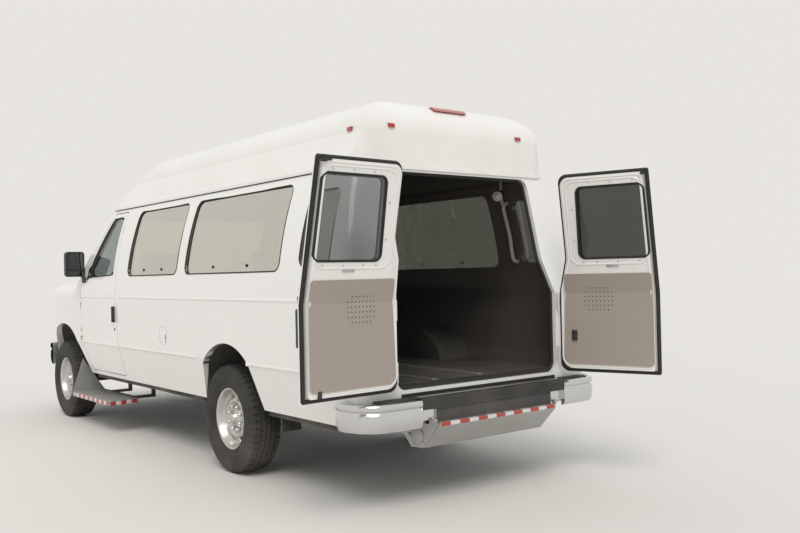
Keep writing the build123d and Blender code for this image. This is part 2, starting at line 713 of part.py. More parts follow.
hood_behind_flange = plan_cutter([(x - FLANGE_REACH, y) for x, y in hood_outline], 40, HOOD_LOW_Z, GUTTER_Z, GAP)
with BuildPart() as hood:
    add(skin & hood_cutter)
    add(shell & hood_cutter & hood_behind_flange)
    for y in HOOD_HINGE_Y:
        with Locations(Location((HOOD_AXIS_X, y, HOOD_AXIS_Z), (90, 0, 0))):
            Cylinder(FRONT_BOSS_R, HINGE_H - HINGE_END_PLAY)
        with Locations((HOOD_AXIS_X + 15, y, HOOD_AXIS_Z - 8)):
            Box(30, HINGE_H - HINGE_END_PLAY, 20)
        with Locations(Location((HOOD_AXIS_X, y, HOOD_AXIS_Z), (90, 0, 0))):
            Cylinder(FRONT_PIN_R + HINGE_PLAY, HINGE_H, mode=Mode.SUBTRACT)
save(hood.part, "hood")

# Cargo doors in the right side

cargo_axis_y = -(BELT_Y + HINGE_OUT)
cargo_web_y = (cargo_axis_y - 5, -(BELT_Y - 10))
cargo_fixed = []
for word, x0, x1, axis_x, toward_door in (
    ("front", CARGO_DOOR_SPLIT_X, CARGO_DOOR_X1, CARGO_DOOR_X1 - GAP / 2, -1),
    ("rear", CARGO_DOOR_X0, CARGO_DOOR_SPLIT_X, CARGO_DOOR_X0 + GAP / 2, 1),
):
    split_gap = GAP / 2
    low_x = x0 + (split_gap if toward_door < 0 else GAP)
    high_x = x1 - (GAP if toward_door < 0 else split_gap)
    outline = side_cutter(rectangle(low_x, high_x, DOOR_LOW_Z + GAP, DOOR_TOP_Z - GAP), 35, -1)
    shift = -toward_door * FLANGE_REACH
    behind_flange = side_cutter(rectangle(low_x + shift, high_x + shift, DOOR_LOW_Z, DOOR_TOP_Z), 35, -1)
    glass_x0, glass_x1 = low_x + CARGO_GLASS_RIM, high_x - CARGO_GLASS_RIM
    glass_cut = side_cutter(rectangle(glass_x0, glass_x1, WINDOW_LOW_Z, WINDOW_TOP_Z - 25), WINDOW_R, -1)
    fixed, moving = hinge_halves(
        axis_x,
        cargo_axis_y,
        SIDE_HINGE_Z,
        PIN_R,
        BOSS_R,
        (*sorted((axis_x, axis_x - toward_door * 50)), *cargo_web_y),
        (*sorted((axis_x, axis_x + toward_door * 50)), *cargo_web_y),
    )
    cargo_fixed.append(fixed)
    with BuildPart() as side_door:
        add(skin & outline)
        add(shell & outline & behind_flange)
        add(moving)
        add(glass_cut, mode=Mode.SUBTRACT)
    save(side_door.part, f"side_door_{word}")
    save(pane & glass_cut, f"side_door_{word}_glass")

# Rear doors, drawn shut and then turned open

rear_fixed = {}
for side, word, opening in ((1, "left", -LEFT_REAR_OPEN), (-1, "right", RIGHT_REAR_OPEN)):
    outline = rear_cutter(side, GAP)
    frame = rear_prism(REAR_FRAME, side)
    glass_cutter = rear_prism(REAR_GLASS, side)
    trim_cutter = rear_prism(REAR_TRIM, side)
    fixed, moving = hinge_halves(
        REAR_HINGE_X,
        side * REAR_HINGE_Y,
        SIDE_HINGE_Z,
        PIN_R,
        BOSS_R,
        (REAR_HINGE_X - 5, REAR_X + 10, *sorted((side * REAR_HINGE_Y, side * (REAR_HINGE_Y + 50)))),
        (REAR_HINGE_X - 5, REAR_X - 6, *sorted((side * REAR_HINGE_Y, side * (REAR_HINGE_Y - 50)))),
    )
    leaf_y = sorted((side * (REAR_HINGE_Y - 50), side * (REAR_OPENING_Y - GAP - 3)))
    half_leaf = (HINGE_H - HINGE_END_PLAY) / 2
    rear_fixed[side] = fixed
    with BuildPart() as rear_door:
        add(skin & outline)
        add(shell & frame)
        add(moving)
        for z in SIDE_HINGE_Z:
            add(slab(REAR_HINGE_X - 5, REAR_X + 10, *leaf_y, z - half_leaf, z + half_leaf))
        add(glass_cutter, mode=Mode.SUBTRACT)
    hinge = (REAR_HINGE_X, side * REAR_HINGE_Y, opening)
    save(turned(rear_door.part, *hinge), f"rear_door_{word}")
    save(turned(Location((REAR_GLASS_IN, 0, 0)) * (pane & glass_cutter), *hinge), f"rear_door_glass_{word}")
    save(turned((inner_form - trim_form) & trim_cutter, *hinge), f"rear_door_trim_{word}")

side_panels[1] += rear_fixed[1]
side_panels[-1] += rear_fixed[-1]
for fixed in cargo_fixed:
    side_panels[-1] += fixed
for side, name in ((1, "left_side_panel"), (-1, "right_side_panel")):
    save(side_panels[side], name)

# The raised roof


def roof_form(inset):
    """The raised roof as one solid, drawn in by an inset: its section, its side view and its plan."""
    with BuildPart() as roof:
        with BuildSketch(Plane.YZ.offset(REAR_X)):
            with BuildLine():
                side_foot = (GUTTER_Y - inset, GUTTER_Z)
                shoulder = (ROOF_SIDE_Y - inset, ROOF_SIDE_Z)
                edge = (ROOF_EDGE_Y - inset, ROOF_EDGE_Z - inset)
                Line((0, GUTTER_Z), side_foot)
                Line(side_foot, shoulder)
                ThreePointArc(shoulder, (ROOF_ROUND_Y - inset, ROOF_ROUND_Z - inset), edge)
                ThreePointArc(edge, (ROOF_EDGE_Y / 2, ROOF_TOP_Z - 20 - inset), (0, ROOF_TOP_Z - inset))
                Line((0, ROOF_TOP_Z - inset), (0, GUTTER_Z))
            make_face()
            mirror(about=Plane.YZ)
        extrude(amount=ROOF_FRONT_X - REAR_X)
        with BuildSketch(Plane.XZ):
            with BuildLine():
                rear_foot = (ROOF_REAR_X + inset, GUTTER_Z)
                rear_side = (ROOF_REAR_X + ROOF_REAR_SLANT + inset, ROOF_SIDE_Z)
                rear_top = (ROOF_REAR_TOP[0] + inset, ROOF_REAR_TOP[1] - inset)
                rear_round = (ROOF_REAR_X + ROOF_REAR_ROUND[0] + inset, rear_top[1] - ROOF_REAR_ROUND[1])
                crown = (ROOF_CROWN_X, ROOF_TOP_Z + 10 - inset)
                fall = (ROOF_FALL_X, ROOF_FALL_Z - inset)
                brow = (ROOF_FRONT_X - ROOF_BROW[0] - inset, ROOF_BROW[1] - inset)
                front_foot = (ROOF_FRONT_X - inset, GUTTER_Z)
                Line(rear_foot, rear_side)
                ThreePointArc(rear_side, rear_round, rear_top)
                ThreePointArc(rear_top, crown, fall)
                ThreePointArc(fall, brow, front_foot)
                Line(front_foot, rear_foot)
            make_face()
        extrude(amount=BELT_Y, both=True, mode=Mode.INTERSECT)
        add(extrude(roof_plan(inset).moved(Location((0, 0, GUTTER_Z))), amount=BELT_Z, mode=Mode.PRIVATE), mode=Mode.INTERSECT)
    return roof.part


def roof_plan(inset):
    """The roof seen from above at the gutter."""
    side_y = GUTTER_Y - inset
    rear_x = ROOF_REAR_X + inset
    with BuildSketch() as plan:
        with BuildLine():
            Line((rear_x, 0), (rear_x, side_y - ROOF_CORNER_R))
            RadiusArc((rear_x, side_y - ROOF_CORNER_R), (rear_x + ROOF_CORNER_R, side_y), ROOF_CORNER_R)
            Line((rear_x + ROOF_CORNER_R, side_y), (ROOF_TAPER_X - inset, side_y))
            ThreePointArc(
                (ROOF_TAPER_X - inset, side_y),
                (ROOF_FRONT_X - 35 - inset, GUTTER_Y / 2 - inset / 2),
                (ROOF_FRONT_X - inset, 0),
            )
            Line((ROOF_FRONT_X - inset, 0), (rear_x, 0))
        make_face()
        mirror(about=Plane.XZ)
    return plan.sketch


with BuildPart() as raised_roof:
    add(roof_form(0.0))
    add(extrude(roof_plan(-DRIP_T).moved(Location((0, 0, GUTTER_Z))), amount=DRIP_H, mode=Mode.PRIVATE))
    add(roof_form(ROOF_WALL), mode=Mode.SUBTRACT)
save(raised_roof.part, "raised_roof")

# Floor with its wheelhouses, and the frame under it

above_wells = slab(REAR_X, NOSE_X, -BELT_Y, BELT_Y, WELL_LOW_Z, GUTTER_Z)
well_blocks = []
for arch, inner_y, row in zip(ARCHES, WELL_INNER_Y, ("rear", "front")):
    block = arch_prism(arch, WELL_GAP + WELL_SHEET, inner_y - WELL_SHEET, BELT_Y)
    hollow = arch_prism(arch, WELL_GAP, inner_y, BELT_Y + WALL)
    well_blocks.append(block)
    save((block - hollow) & above_wells & lining_form, f"{row}_wheelhouses")

with BuildPart() as floor_pan:
    add(slab(REAR_X, FIREWALL_X, -BELT_Y, BELT_Y, FLOOR_Z - FLOOR_T, FLOOR_Z))
    for block in well_blocks:
        add(block, mode=Mode.SUBTRACT)
    add(slab(ENGINE_X[0], FIREWALL_X, -ENGINE_HOLE_Y, ENGINE_HOLE_Y, 0, GUTTER_Z), mode=Mode.SUBTRACT)
    add(lining_form, mode=Mode.INTERSECT)
    with Locations((COT_X, 0, FLOOR_Z - FLOOR_T / 2)):
        with GridLocations(COT_SPACING_X, COT_SPACING_Y, 2, 2):
            Cylinder(COT_HOLE_R, FLOOR_T, mode=Mode.SUBTRACT)
save(floor_pan.part, "floor_pan")

with BuildPart() as firewall:
    for ys in mirrored_range(ENGINE_HOLE_Y, BELT_Y):
        add(slab(FIREWALL_X, FIREWALL_X + FIREWALL_T, *ys, FLOOR_Z - FLOOR_T, FIREWALL_TOP_Z))
    add(well_blocks[1], mode=Mode.SUBTRACT)
    add(lining_form, mode=Mode.INTERSECT)
save(firewall.part, "firewall")

rail_top_z = RAIL_LOW_Z + RAIL_H
rail_inner_y, rail_outer_y = RAIL_Y - RAIL_W / 2, RAIL_Y + RAIL_W / 2
with BuildPart() as frame_rails:
    for y in (-RAIL_Y, RAIL_Y):
        add(slab(RAIL_X[0], RAIL_X[1], y - RAIL_W / 2, y + RAIL_W / 2, RAIL_LOW_Z, rail_top_z))
        for x in FLOOR_MOUNT_X:
            with Locations((x, y, (rail_top_z + FLOOR_Z - FLOOR_T) / 2)):
                Box(90, 70, FLOOR_Z - FLOOR_T - rail_top_z)
save(frame_rails.part, "frame_rails")

with BuildPart() as frame_crossmembers:
    for x, z, length in CROSSMEMBERS:
        with Locations((x, 0, z)):
            Box(length, 2 * rail_inner_y, 60)
    add(slab(WHEELBASE - 100, WHEELBASE + 100, -rail_outer_y, rail_outer_y, *FRONT_CROSSMEMBER_Z))
save(frame_crossmembers.part, "frame_crossmembers")

# Axles, springs and knuckles

kingpin_y = TRACK_FRONT / 2 - KINGPIN_OFFSET
for side, word, beam_x in ((1, "left", WHEELBASE - BEAM_OFFSET), (-1, "right", WHEELBASE + BEAM_OFFSET)):
    pivot_y = -side * BEAM_PIVOT_Y
    bend_y = side * (kingpin_y - 120)
    with BuildPart() as axle_beam:
        beam_z = (BEAM_LOW_Z, BEAM_TOP_Z)
        add(slab(beam_x - 28, beam_x + 28, *sorted((pivot_y, bend_y)), *beam_z))
        add(slab(beam_x - 28, beam_x + 28, pivot_y - 30, pivot_y + 30, BEAM_LOW_Z, FRONT_CROSSMEMBER_Z[0]))
        add(slab(*sorted((beam_x, WHEELBASE + EYE_R)), *sorted((bend_y, bend_y - side * 60)), *beam_z))
        add(slab(*sorted((beam_x, WHEELBASE - EYE_R)), *sorted((bend_y, bend_y - side * 60)), *beam_z))
        add(slab(WHEELBASE - EYE_R, WHEELBASE + EYE_R, *sorted((bend_y - side * 60, side * kingpin_y)), *beam_z))
        add(slab(WHEELBASE - 60, WHEELBASE + 60, *sorted((side * (RAIL_Y - 40), side * (RAIL_Y + 40))), *beam_z))
        with Locations((WHEELBASE, side * RAIL_Y, (BEAM_TOP_Z + FRONT_CROSSMEMBER_Z[0]) / 2)):
            Cylinder(COIL_R, FRONT_CROSSMEMBER_Z[0] - BEAM_TOP_Z)
        with Locations((WHEELBASE, side * kingpin_y, TYRE_R)):
            Cylinder(EYE_R, EYE_H)
            Cylinder(KINGPIN_R + SPINDLE_PLAY, EYE_H, mode=Mode.SUBTRACT)
    save(axle_beam.part, f"front_axle_beam_{word}")

for side, word in ((1, "left"), (-1, "right")):
    with BuildPart() as knuckle:
        for z in (TYRE_R - KNUCKLE_ARM_Z, TYRE_R + KNUCKLE_ARM_Z):
            with Locations((WHEELBASE, side * kingpin_y, z)):
                Cylinder(32, 24)
            add(slab(WHEELBASE - 30, WHEELBASE + 30, *sorted((side * kingpin_y, side * (kingpin_y + 60))), z - 12, z + 12))
        with Locations((WHEELBASE, side * kingpin_y, TYRE_R)):
            Cylinder(KINGPIN_R, 2 * KNUCKLE_ARM_Z)
        add(slab(WHEELBASE - 45, WHEELBASE + 45, *sorted((side * (kingpin_y + 40), side * (kingpin_y + 62))), TYRE_R - KNUCKLE_ARM_Z - 12, TYRE_R + KNUCKLE_ARM_Z + 12))
        add(rod((WHEELBASE, side * (kingpin_y + 50), TYRE_R), (WHEELBASE, side * (TRACK_FRONT / 2 + SPINDLE_END), TYRE_R), SPINDLE_R))
    save(knuckle.part, f"knuckle_{word}")

with BuildPart() as rear_axle:
    half_track = TRACK_REAR / 2
    add(rod((0, -half_track + 60, TYRE_R), (0, half_track - 60, TYRE_R), AXLE_R))
    add(rod((0, -half_track - SPINDLE_END, TYRE_R), (0, half_track + SPINDLE_END, TYRE_R), SPINDLE_R))
    with Locations((0, 0, TYRE_R)):
        Sphere(DIFF_R)
    add(rod((0, 0, TYRE_R), (DRIVE_SHAFT_X, 0, DRIVE_SHAFT_Z), DRIVE_SHAFT_R))
    for y in (-RAIL_Y, RAIL_Y):
        with BuildSketch(Plane.XZ.offset(-y - LEAF_W / 2)):
            with BuildLine():
                ThreePointArc((-LEAF_HALF, RAIL_LOW_Z), (0, TYRE_R + AXLE_R), (LEAF_HALF, RAIL_LOW_Z))
                Line((LEAF_HALF, RAIL_LOW_Z), (LEAF_HALF, RAIL_LOW_Z - LEAF_T))
                ThreePointArc(
                    (LEAF_HALF, RAIL_LOW_Z - LEAF_T), (0, TYRE_R + AXLE_R - LEAF_T), (-LEAF_HALF, RAIL_LOW_Z - LEAF_T)
                )
                Line((-LEAF_HALF, RAIL_LOW_Z - LEAF_T), (-LEAF_HALF, RAIL_LOW_Z))
            make_face()
        extrude(amount=LEAF_W)
save(rear_axle.part, "rear_axle")

# Wheels: a steel rim and a tyre on each spindle

BORE_R = SPINDLE_R + SPINDLE_PLAY
BARREL_R = RIM_R - 8
EDGE_Y = RIM_W / 2
SEAT_Y_OUT = RIM_W / 2 - 8
RIM_PROFILE = [
    # distance outboard of the wheel's middle, radius
    (-EDGE_Y, RIM_FLANGE_R),
    (-SEAT_Y_OUT, RIM_FLANGE_R),
    (-SEAT_Y_OUT, RIM_R),
    (SEAT_Y_OUT, RIM_R),
    (SEAT_Y_OUT, RIM_FLANGE_R),
    (EDGE_Y, RIM_FLANGE_R),
    (EDGE_Y, BARREL_R),
    (62, BARREL_R),
    (62, 170),
    (38, 118),
    (38, 78),
    (HUB_FACE, 66),
    (HUB_FACE, 0),
    (SPINDLE_END + 5, 0),
    (SPINDLE_END + 5, BORE_R),
    (-12, BORE_R),
    (-12, 78),
    (28, 78),
    (28, 122),
    (50, 176),
    (50, BARREL_R),
    (-EDGE_Y, BARREL_R),
]
TYRE_PROFILE = [
    (-SEAT_Y_OUT, RIM_R),
    (-SEAT_Y_OUT, RIM_FLANGE_R + 2),
    (-108, 242),
    (-TYRE_W / 2, 292),
    (-115, 335),
    (-100, 368),
    (-84, TYRE_R),
    (84, TYRE_R),
    (100, 368),
    (115, 335),
    (TYRE_W / 2, 292),
    (108, 242),
    (SEAT_Y_OUT, RIM_FLANGE_R + 2),
    (SEAT_Y_OUT, RIM_R),
]


def revolved(profile):
    """A profile of distance outboard and radius, revolved about the wheel's own axis, Y."""
    with BuildPart() as ring:
        with BuildSketch(Plane.XY):
            with BuildLine():
                Polyline(*[(radius, outboard) for outboard, radius in profile], close=True)
            make_face()
        revolve(axis=Axis.Y)
    return ring.part


with BuildPart() as rim_left:
    add(revolved(RIM_PROFILE))
    for index in range(HAND_HOLES):
        angle = radians(360 * index / HAND_HOLES)
        with Locations(Location((HAND_HOLE_CIRCLE_R * cos(angle), 45, HAND_HOLE_CIRCLE_R * sin(angle)), (90, 0, 0))):
            Cylinder(HAND_HOLE_R, 80, mode=Mode.SUBTRACT)
tyre = revolved(TYRE_PROFILE)
for x, track, row in ((WHEELBASE, TRACK_FRONT, "front"), (0.0, TRACK_REAR, "rear")):
    for side, word in ((1, "left"), (-1, "right")):
        place = Location((x, side * track / 2, TYRE_R), (0, 0, 0 if side > 0 else 180))
        save(rim_left.part.moved(place), f"rim_{row}_{word}")
        save(tyre.moved(place), f"tyre_{row}_{word}")

# Engine, exhaust and fuel tank

with BuildPart() as engine_block:
    add(slab(*ENGINE_X, -ENGINE_Y, ENGINE_Y, *ENGINE_Z))
    chamfer(engine_block.faces().sort_by(Axis.Z)[-1].edges(), 60)
    add(slab(ENGINE_MOUNT_X - 50, ENGINE_MOUNT_X + 50, -rail_inner_y, rail_inner_y, ENGINE_Z[0] + 20, ENGINE_Z[0] + 80))
save(engine_block.part, "engine_block")

with BuildPart() as exhaust:
    with BuildLine() as pipe_path:
        FilletPolyline(*PIPE_PATH, radius=60)
    with BuildSketch(Plane(origin=pipe_path.line @ 0, z_dir=pipe_path.line % 0)):
        Circle(PIPE_R)
    sweep(path=pipe_path.line)
    add(rod((MUFFLER_X[0], MUFFLER_Y, MUFFLER_Z), (MUFFLER_X[1], MUFFLER_Y, MUFFLER_Z), MUFFLER_R))
    for x in (MUFFLER_X[0] + 30, MUFFLER_X[1] - 30):
        add(slab(x - 15, x + 15, -rail_inner_y, MUFFLER_Y, MUFFLER_Z + 40, RAIL_LOW_Z + 40))
save(exhaust.part, "exhaust")

with BuildPart() as fuel_tank:
    add(slab(*TANK_X, -TANK_Y, TANK_Y, *TANK_Z))
    fillet(fuel_tank.edges().filter_by(Axis.X), 50)
    for x in (TANK_X[0] + 150, TANK_X[1] - 150):
        add(slab(x - 20, x + 20, -rail_inner_y, rail_inner_y, TANK_Z[1] - 80, TANK_Z[1] - 70))
save(fuel_tank.part, "fuel_tank")

# Bumpers and steps


def bumper_bar(points, mid_points, depth, z0, z1):
    """Half a bumper from the middle to the end of its wrap, as a band between two arcs."""
    start, corner, end = points
    with BuildPart() as bar:
        with BuildSketch(Plane.XY.offset(z0)):
            with BuildLine():
                ThreePointArc(start, mid_points[0], corner)
                ThreePointArc(corner, mid_points[1], end)
                inward = [(x - depth[0], y) for x, y in (start, mid_points[0], corner)]
                inner_corner = (corner[0] - depth[0], corner[1] - depth[1])
                inner_end = (end[0], end[1] - depth[1])
                inner_mid = (mid_points[1][0] - depth[0], mid_points[1][1] - depth[1])
                Line(end, inner_end)
                ThreePointArc(inner_end, inner_mid, inner_corner)
                ThreePointArc(inner_corner, inward[1], inward[0])
                Line(inward[0], start)
            make_face()
        extrude(amount=z1 - z0)
    return bar.part


with BuildPart() as front_bumper:
    half_bar = bumper_bar(FRONT_BUMPER, FRONT_BUMPER_MIDS, (26, 12), *FRONT_BUMPER_Z)
    add(half_bar)
    add(half_bar.mirror(Plane.XZ))
    for y in (-RAIL_Y, RAIL_Y):
        add(slab(RAIL_X[1], FRONT_BUMPER[0][0] - 35, y - 30, y + 30, RAIL_LOW_Z + 20, rail_top_z - 20))
save(front_bumper.part, "front_bumper")

with BuildPart() as rear_bumper:
    half_bar = bumper_bar(REAR_BUMPER, REAR_BUMPER_MIDS, (-20, 14), *REAR_BUMPER_Z)
    add(half_bar)
    add(half_bar.mirror(Plane.XZ))
    add(slab(REAR_BUMPER[0][0] + 15, REAR_BUMPER[0][0] + 60, -REAR_BUMPER[1][1] + 30, REAR_BUMPER[1][1] - 30, *BUMPER_BEAM_Z))
    for y in (-RAIL_Y, RAIL_Y):
        add(slab(REAR_BUMPER[0][0] + 50, RAIL_X[0], y - 30, y + 30, *BUMPER_BEAM_Z))
save(rear_bumper.part, "rear_bumper")

with BuildPart() as bumper_pad:
    pad_y = REAR_BUMPER[0][1] - 2
    add(slab(REAR_BUMPER[0][0] - 4, REAR_BUMPER[0][0] + 15, -pad_y, pad_y, REAR_PAD_LOW_Z, REAR_BUMPER_Z[1]))
    add(slab(REAR_BUMPER[0][0] - 4, REAR_X - 5, -pad_y, pad_y, REAR_BUMPER_Z[1], REAR_BUMPER_Z[1] + 12))
save(bumper_pad.part, "rear_bumper_pad")

with BuildPart() as rear_step:
    with BuildSketch(Plane.XZ.offset(-STEP_Y)):
        with BuildLine():
            Polyline(*STEP_TRAY, close=True)
        make_face()
    extrude(amount=2 * STEP_Y)
    for y in (-STEP_Y, STEP_Y):
        with BuildSketch(Plane.XZ.offset(-y - 6)):
            with BuildLine():
                Polyline(*STEP_SIDE, close=True)
            make_face()
        extrude(amount=12)
    add(slab(*STEP_PLATE_X, -STEP_Y, STEP_Y, *STEP_PLATE_Z))
save(rear_step.part, "rear_step")

for side, word in ((1, "left"), (-1, "right")):
    with BuildPart() as side_step:
        with BuildSketch(Plane.XY.offset(SIDE_STEP_Z[0])):
            Polygon(*[(x, side * y) for x, y in SIDE_STEP], align=None)
        extrude(amount=SIDE_STEP_Z[1] - SIDE_STEP_Z[0])
        for x in SIDE_STEP_BRACKETS:
            add(slab(x - 25, x + 25, *sorted((side * rail_outer_y, side * 900)), SIDE_STEP_Z[0], SIDE_STEP_Z[0] + 20))
            add(slab(x - 25, x + 25, *sorted((side * rail_outer_y, side * (rail_outer_y + 20))), SIDE_STEP_Z[0], RAIL_LOW_Z + 50))
        with BuildSketch(Plane.YZ.offset(GUARD_X)):
            Polygon(*[(side * y, z) for y, z in GUARD], align=None)
        extrude(amount=5)
    save(side_step.part, f"side_step_{word}")

# Lamps

with BuildPart() as rear_lamps:
    for lamp in tail_lamps:
        add(lamp)
    with BuildPart(mode=Mode.PRIVATE) as lamp_blocks:
        for x, y, z, *size in ROOF_LAMPS:
            with Locations((x, y, z)):
                Box(*size)
    add(lamp_blocks.part & (roof_form(-LAMP_PROUD) - roof_form(0.0)))
save(rear_lamps.part, "rear_lamps")

# Cab and load space

column = Vector(cos(radians(WHEEL_TILT)), 0, -sin(radians(WHEEL_TILT)))
with BuildPart() as dashboard:
    add(slab(*DASH_X, -BELT_Y, BELT_Y, *DASH_Z) & lining_form)
    add(slab(COVER_X, FIREWALL_X, -ENGINE_HOLE_Y, ENGINE_HOLE_Y, FLOOR_Z, COVER_TOP_Z))
    cover_inner_y = ENGINE_Y + 25
    bay = slab(ENGINE_X[0] - 30, FIREWALL_X, -cover_inner_y, cover_inner_y, FLOOR_Z, ENGINE_Z[1] + 20)
    add(bay, mode=Mode.SUBTRACT)
    add(rod(Vector(*WHEEL_CENTRE) + column * 220, Vector(*WHEEL_CENTRE) + column * 15, 24))
    for ys in mirrored_range(ENGINE_HOLE_Y, 700):
        add(slab(DASH_X[1] - 20, FIREWALL_X, *ys, *DASH_Z))
save(dashboard.part, "dashboard")

with BuildPart(Plane(origin=WHEEL_CENTRE, z_dir=-column)) as steering_wheel:
    Torus(STEERING_R, 14)
    Cylinder(45, 30)
    with PolarLocations(0, 3):
        Box(STEERING_R, 26, 10, align=(Align.MIN, Align.CENTER, Align.CENTER))
save(steering_wheel.part, "steering_wheel")

for y, name in ((SEAT_Y, "driver_seat"), (-SEAT_Y, "passenger_seat")):
    with BuildPart() as cushion:
        add(slab(*SEAT_X, y - SEAT_W / 2, y + SEAT_W / 2, SEAT_Z - 110, SEAT_Z))
        fillet(cushion.edges(), 35)
    with BuildPart() as seat_back:
        with Locations(Location((SEAT_X[0] + 20, y, SEAT_Z + 260), (0, -SEAT_LEAN, 0))):
            Box(110, SEAT_W, 660)
        fillet(seat_back.edges(), 35)
    with BuildPart() as seat:
        add(cushion.part)
        add(seat_back.part)
        add(slab(SEAT_X[0] + 60, SEAT_X[1] - 60, y - 150, y + 150, FLOOR_Z, SEAT_Z - 80))
    save(seat.part, name)

with BuildPart() as grab_rail:
    with BuildLine() as rail_path:
        FilletPolyline(*GRAB_RAIL, radius=40)
    with BuildSketch(Plane(origin=rail_path.line @ 0, z_dir=rail_path.line % 0)):
        Circle(14)
    sweep(path=rail_path.line)
    add(lining_form, mode=Mode.INTERSECT)
save(grab_rail.part, "grab_rail")
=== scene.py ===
# %% [markdown]
# # A high-roofed van ambulance, dressed for rendering
# The measured solids arrive as a fixed frame: every panel, door, wheel and step already has its
# true size and turns on its own joint. This script adds what a photograph shows on top of that:
# paint, glass, tread, seals, trim, lamps and wear. It reads from top to bottom like a lesson, and
# each step says what the real thing is, how it could be made and why this way was chosen.

from math import atan2, cos, pi, radians, sin, sqrt, tan

import bmesh
import bpy
from mathutils import Matrix, Vector
from mathutils.bvhtree import BVHTree


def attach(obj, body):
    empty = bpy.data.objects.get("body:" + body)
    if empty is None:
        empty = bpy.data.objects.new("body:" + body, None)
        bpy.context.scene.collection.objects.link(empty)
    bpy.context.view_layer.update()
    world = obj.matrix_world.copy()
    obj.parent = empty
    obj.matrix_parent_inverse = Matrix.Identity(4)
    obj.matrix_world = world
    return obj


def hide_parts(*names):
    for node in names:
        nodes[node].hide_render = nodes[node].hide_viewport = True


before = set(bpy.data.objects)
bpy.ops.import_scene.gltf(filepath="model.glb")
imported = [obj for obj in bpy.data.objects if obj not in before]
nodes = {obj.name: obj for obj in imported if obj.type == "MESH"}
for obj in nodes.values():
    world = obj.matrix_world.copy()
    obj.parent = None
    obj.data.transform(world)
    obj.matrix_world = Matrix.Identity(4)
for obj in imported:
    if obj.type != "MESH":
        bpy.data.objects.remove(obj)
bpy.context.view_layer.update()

# %% [markdown]
# ## The camera
# The photograph was taken from behind the left rear corner, at eye height and almost level. Its
# place was solved from the wheels, the sills and the window line, so the numbers are used as they
# came out: heading and pitch of the view, a slight roll, and a normal lens.

# %% Camera
EYE = Vector((-5.5648, 3.7828, 1.3688))
HEADING, PITCH, ROLL = -0.66700, 0.008525, -0.021641
LENS_MM, SENSOR_MM = 39.234, 36.0
SEES_TO = 200.0
forward = Vector((cos(HEADING) * cos(PITCH), sin(HEADING) * cos(PITCH), sin(PITCH)))
level_right = Vector((sin(HEADING), -cos(HEADING), 0.0))
level_up = level_right.cross(forward)
right = level_right * cos(ROLL) + level_up * sin(ROLL)
up = level_up * cos(ROLL) - level_right * sin(ROLL)
camera_data = bpy.data.cameras.new("camera")
camera_data.sensor_width = SENSOR_MM
camera_data.lens = LENS_MM
camera_data.clip_end = SEES_TO
camera = bpy.data.objects.new("camera", camera_data)
facing = Matrix((right, up, -forward)).transposed().to_4x4()
camera.matrix_world = Matrix.Translation(EYE) @ facing
bpy.context.scene.collection.objects.link(camera)
bpy.context.scene.camera = camera
print("camera at", [round(v, 2) for v in EYE])

# %% [markdown]
# ## Sky and light
# The light is that of a bright hazy day: pale sky all round and one broad soft sun from the left
# rear. A sun lamp lights the floor evenly out to the horizon, where a small lamp would leave it
# grey. The levels are plain, so white paint stays just under white and keeps its shading. What the
# camera, a reflection or a pane sees behind the van is a pale backdrop in the floor's own tone.

# %% Sky and background
SKY_LEVEL, SUN_LEVEL = 0.80, 1.4
SKY_COLOUR = (0.97, 0.98, 1.0, 1.0)
SUN_COLOUR = (1.0, 0.965, 0.91)
BACKDROP = (0.80, 0.78, 0.74, 1.0)
SUN_HEADS = Vector((0.62, -0.52, -0.95))
SUN_BREADTH = radians(28.0)
world = bpy.data.worlds.new("sky")
world.use_nodes = True
bpy.context.scene.world = world
sky_nodes, sky_links = world.node_tree.nodes, world.node_tree.links
sky_nodes.clear()
sky_out = sky_nodes.new("ShaderNodeOutputWorld")
sky_mix = sky_nodes.new("ShaderNodeMixShader")
sky_light = sky_nodes.new("ShaderNodeBackground")
sky_seen = sky_nodes.new("ShaderNodeBackground")
sky_path = sky_nodes.new("ShaderNodeLightPath")
sky_light.inputs["Color"].default_value = SKY_COLOUR
sky_light.inputs["Strength"].default_value = SKY_LEVEL
sky_seen.inputs["Color"].default_value = BACKDROP
sky_seen.inputs["Strength"].default_value = 1.0
sky_last = sky_path.outputs["Is Camera Ray"]
for ray in ("Is Glossy Ray", "Is Transmission Ray"):
    sky_either = sky_nodes.new("ShaderNodeMath")
    sky_either.operation = "MAXIMUM"
    sky_links.new(sky_last, sky_either.inputs[0])
    sky_links.new(sky_path.outputs[ray], sky_either.inputs[1])
    sky_last = sky_either.outputs[0]
sky_links.new(sky_last, sky_mix.inputs[0])
sky_links.new(sky_light.outputs[0], sky_mix.inputs[1])
sky_links.new(sky_seen.outputs[0], sky_mix.inputs[2])
sky_links.new(sky_mix.outputs[0], sky_out.inputs[0])
bpy.context.scene.view_settings.view_transform = "Standard"

# %% Sun
sun_data = bpy.data.lights.new("hazy_sun", "SUN")
sun_data.energy = SUN_LEVEL
sun_data.angle = SUN_BREADTH
sun_data.color = SUN_COLOUR
hazy_sun = bpy.data.objects.new("hazy_sun", sun_data)
hazy_sun.rotation_euler = SUN_HEADS.to_track_quat("-Z", "Y").to_euler()
bpy.context.scene.collection.objects.link(hazy_sun)
print("sky", SKY_LEVEL, "sun", SUN_LEVEL)

# %% [markdown]
# ## Shared effects
# Paint, rubber, plastic and metal all gather the same road dust and all have some fine unevenness.
# Both could be painted by hand, but a shader group that reads the place on the object gives every
# piece the same dirt line and grain at the same scale, whichever side is looked at.

# %% Node helpers


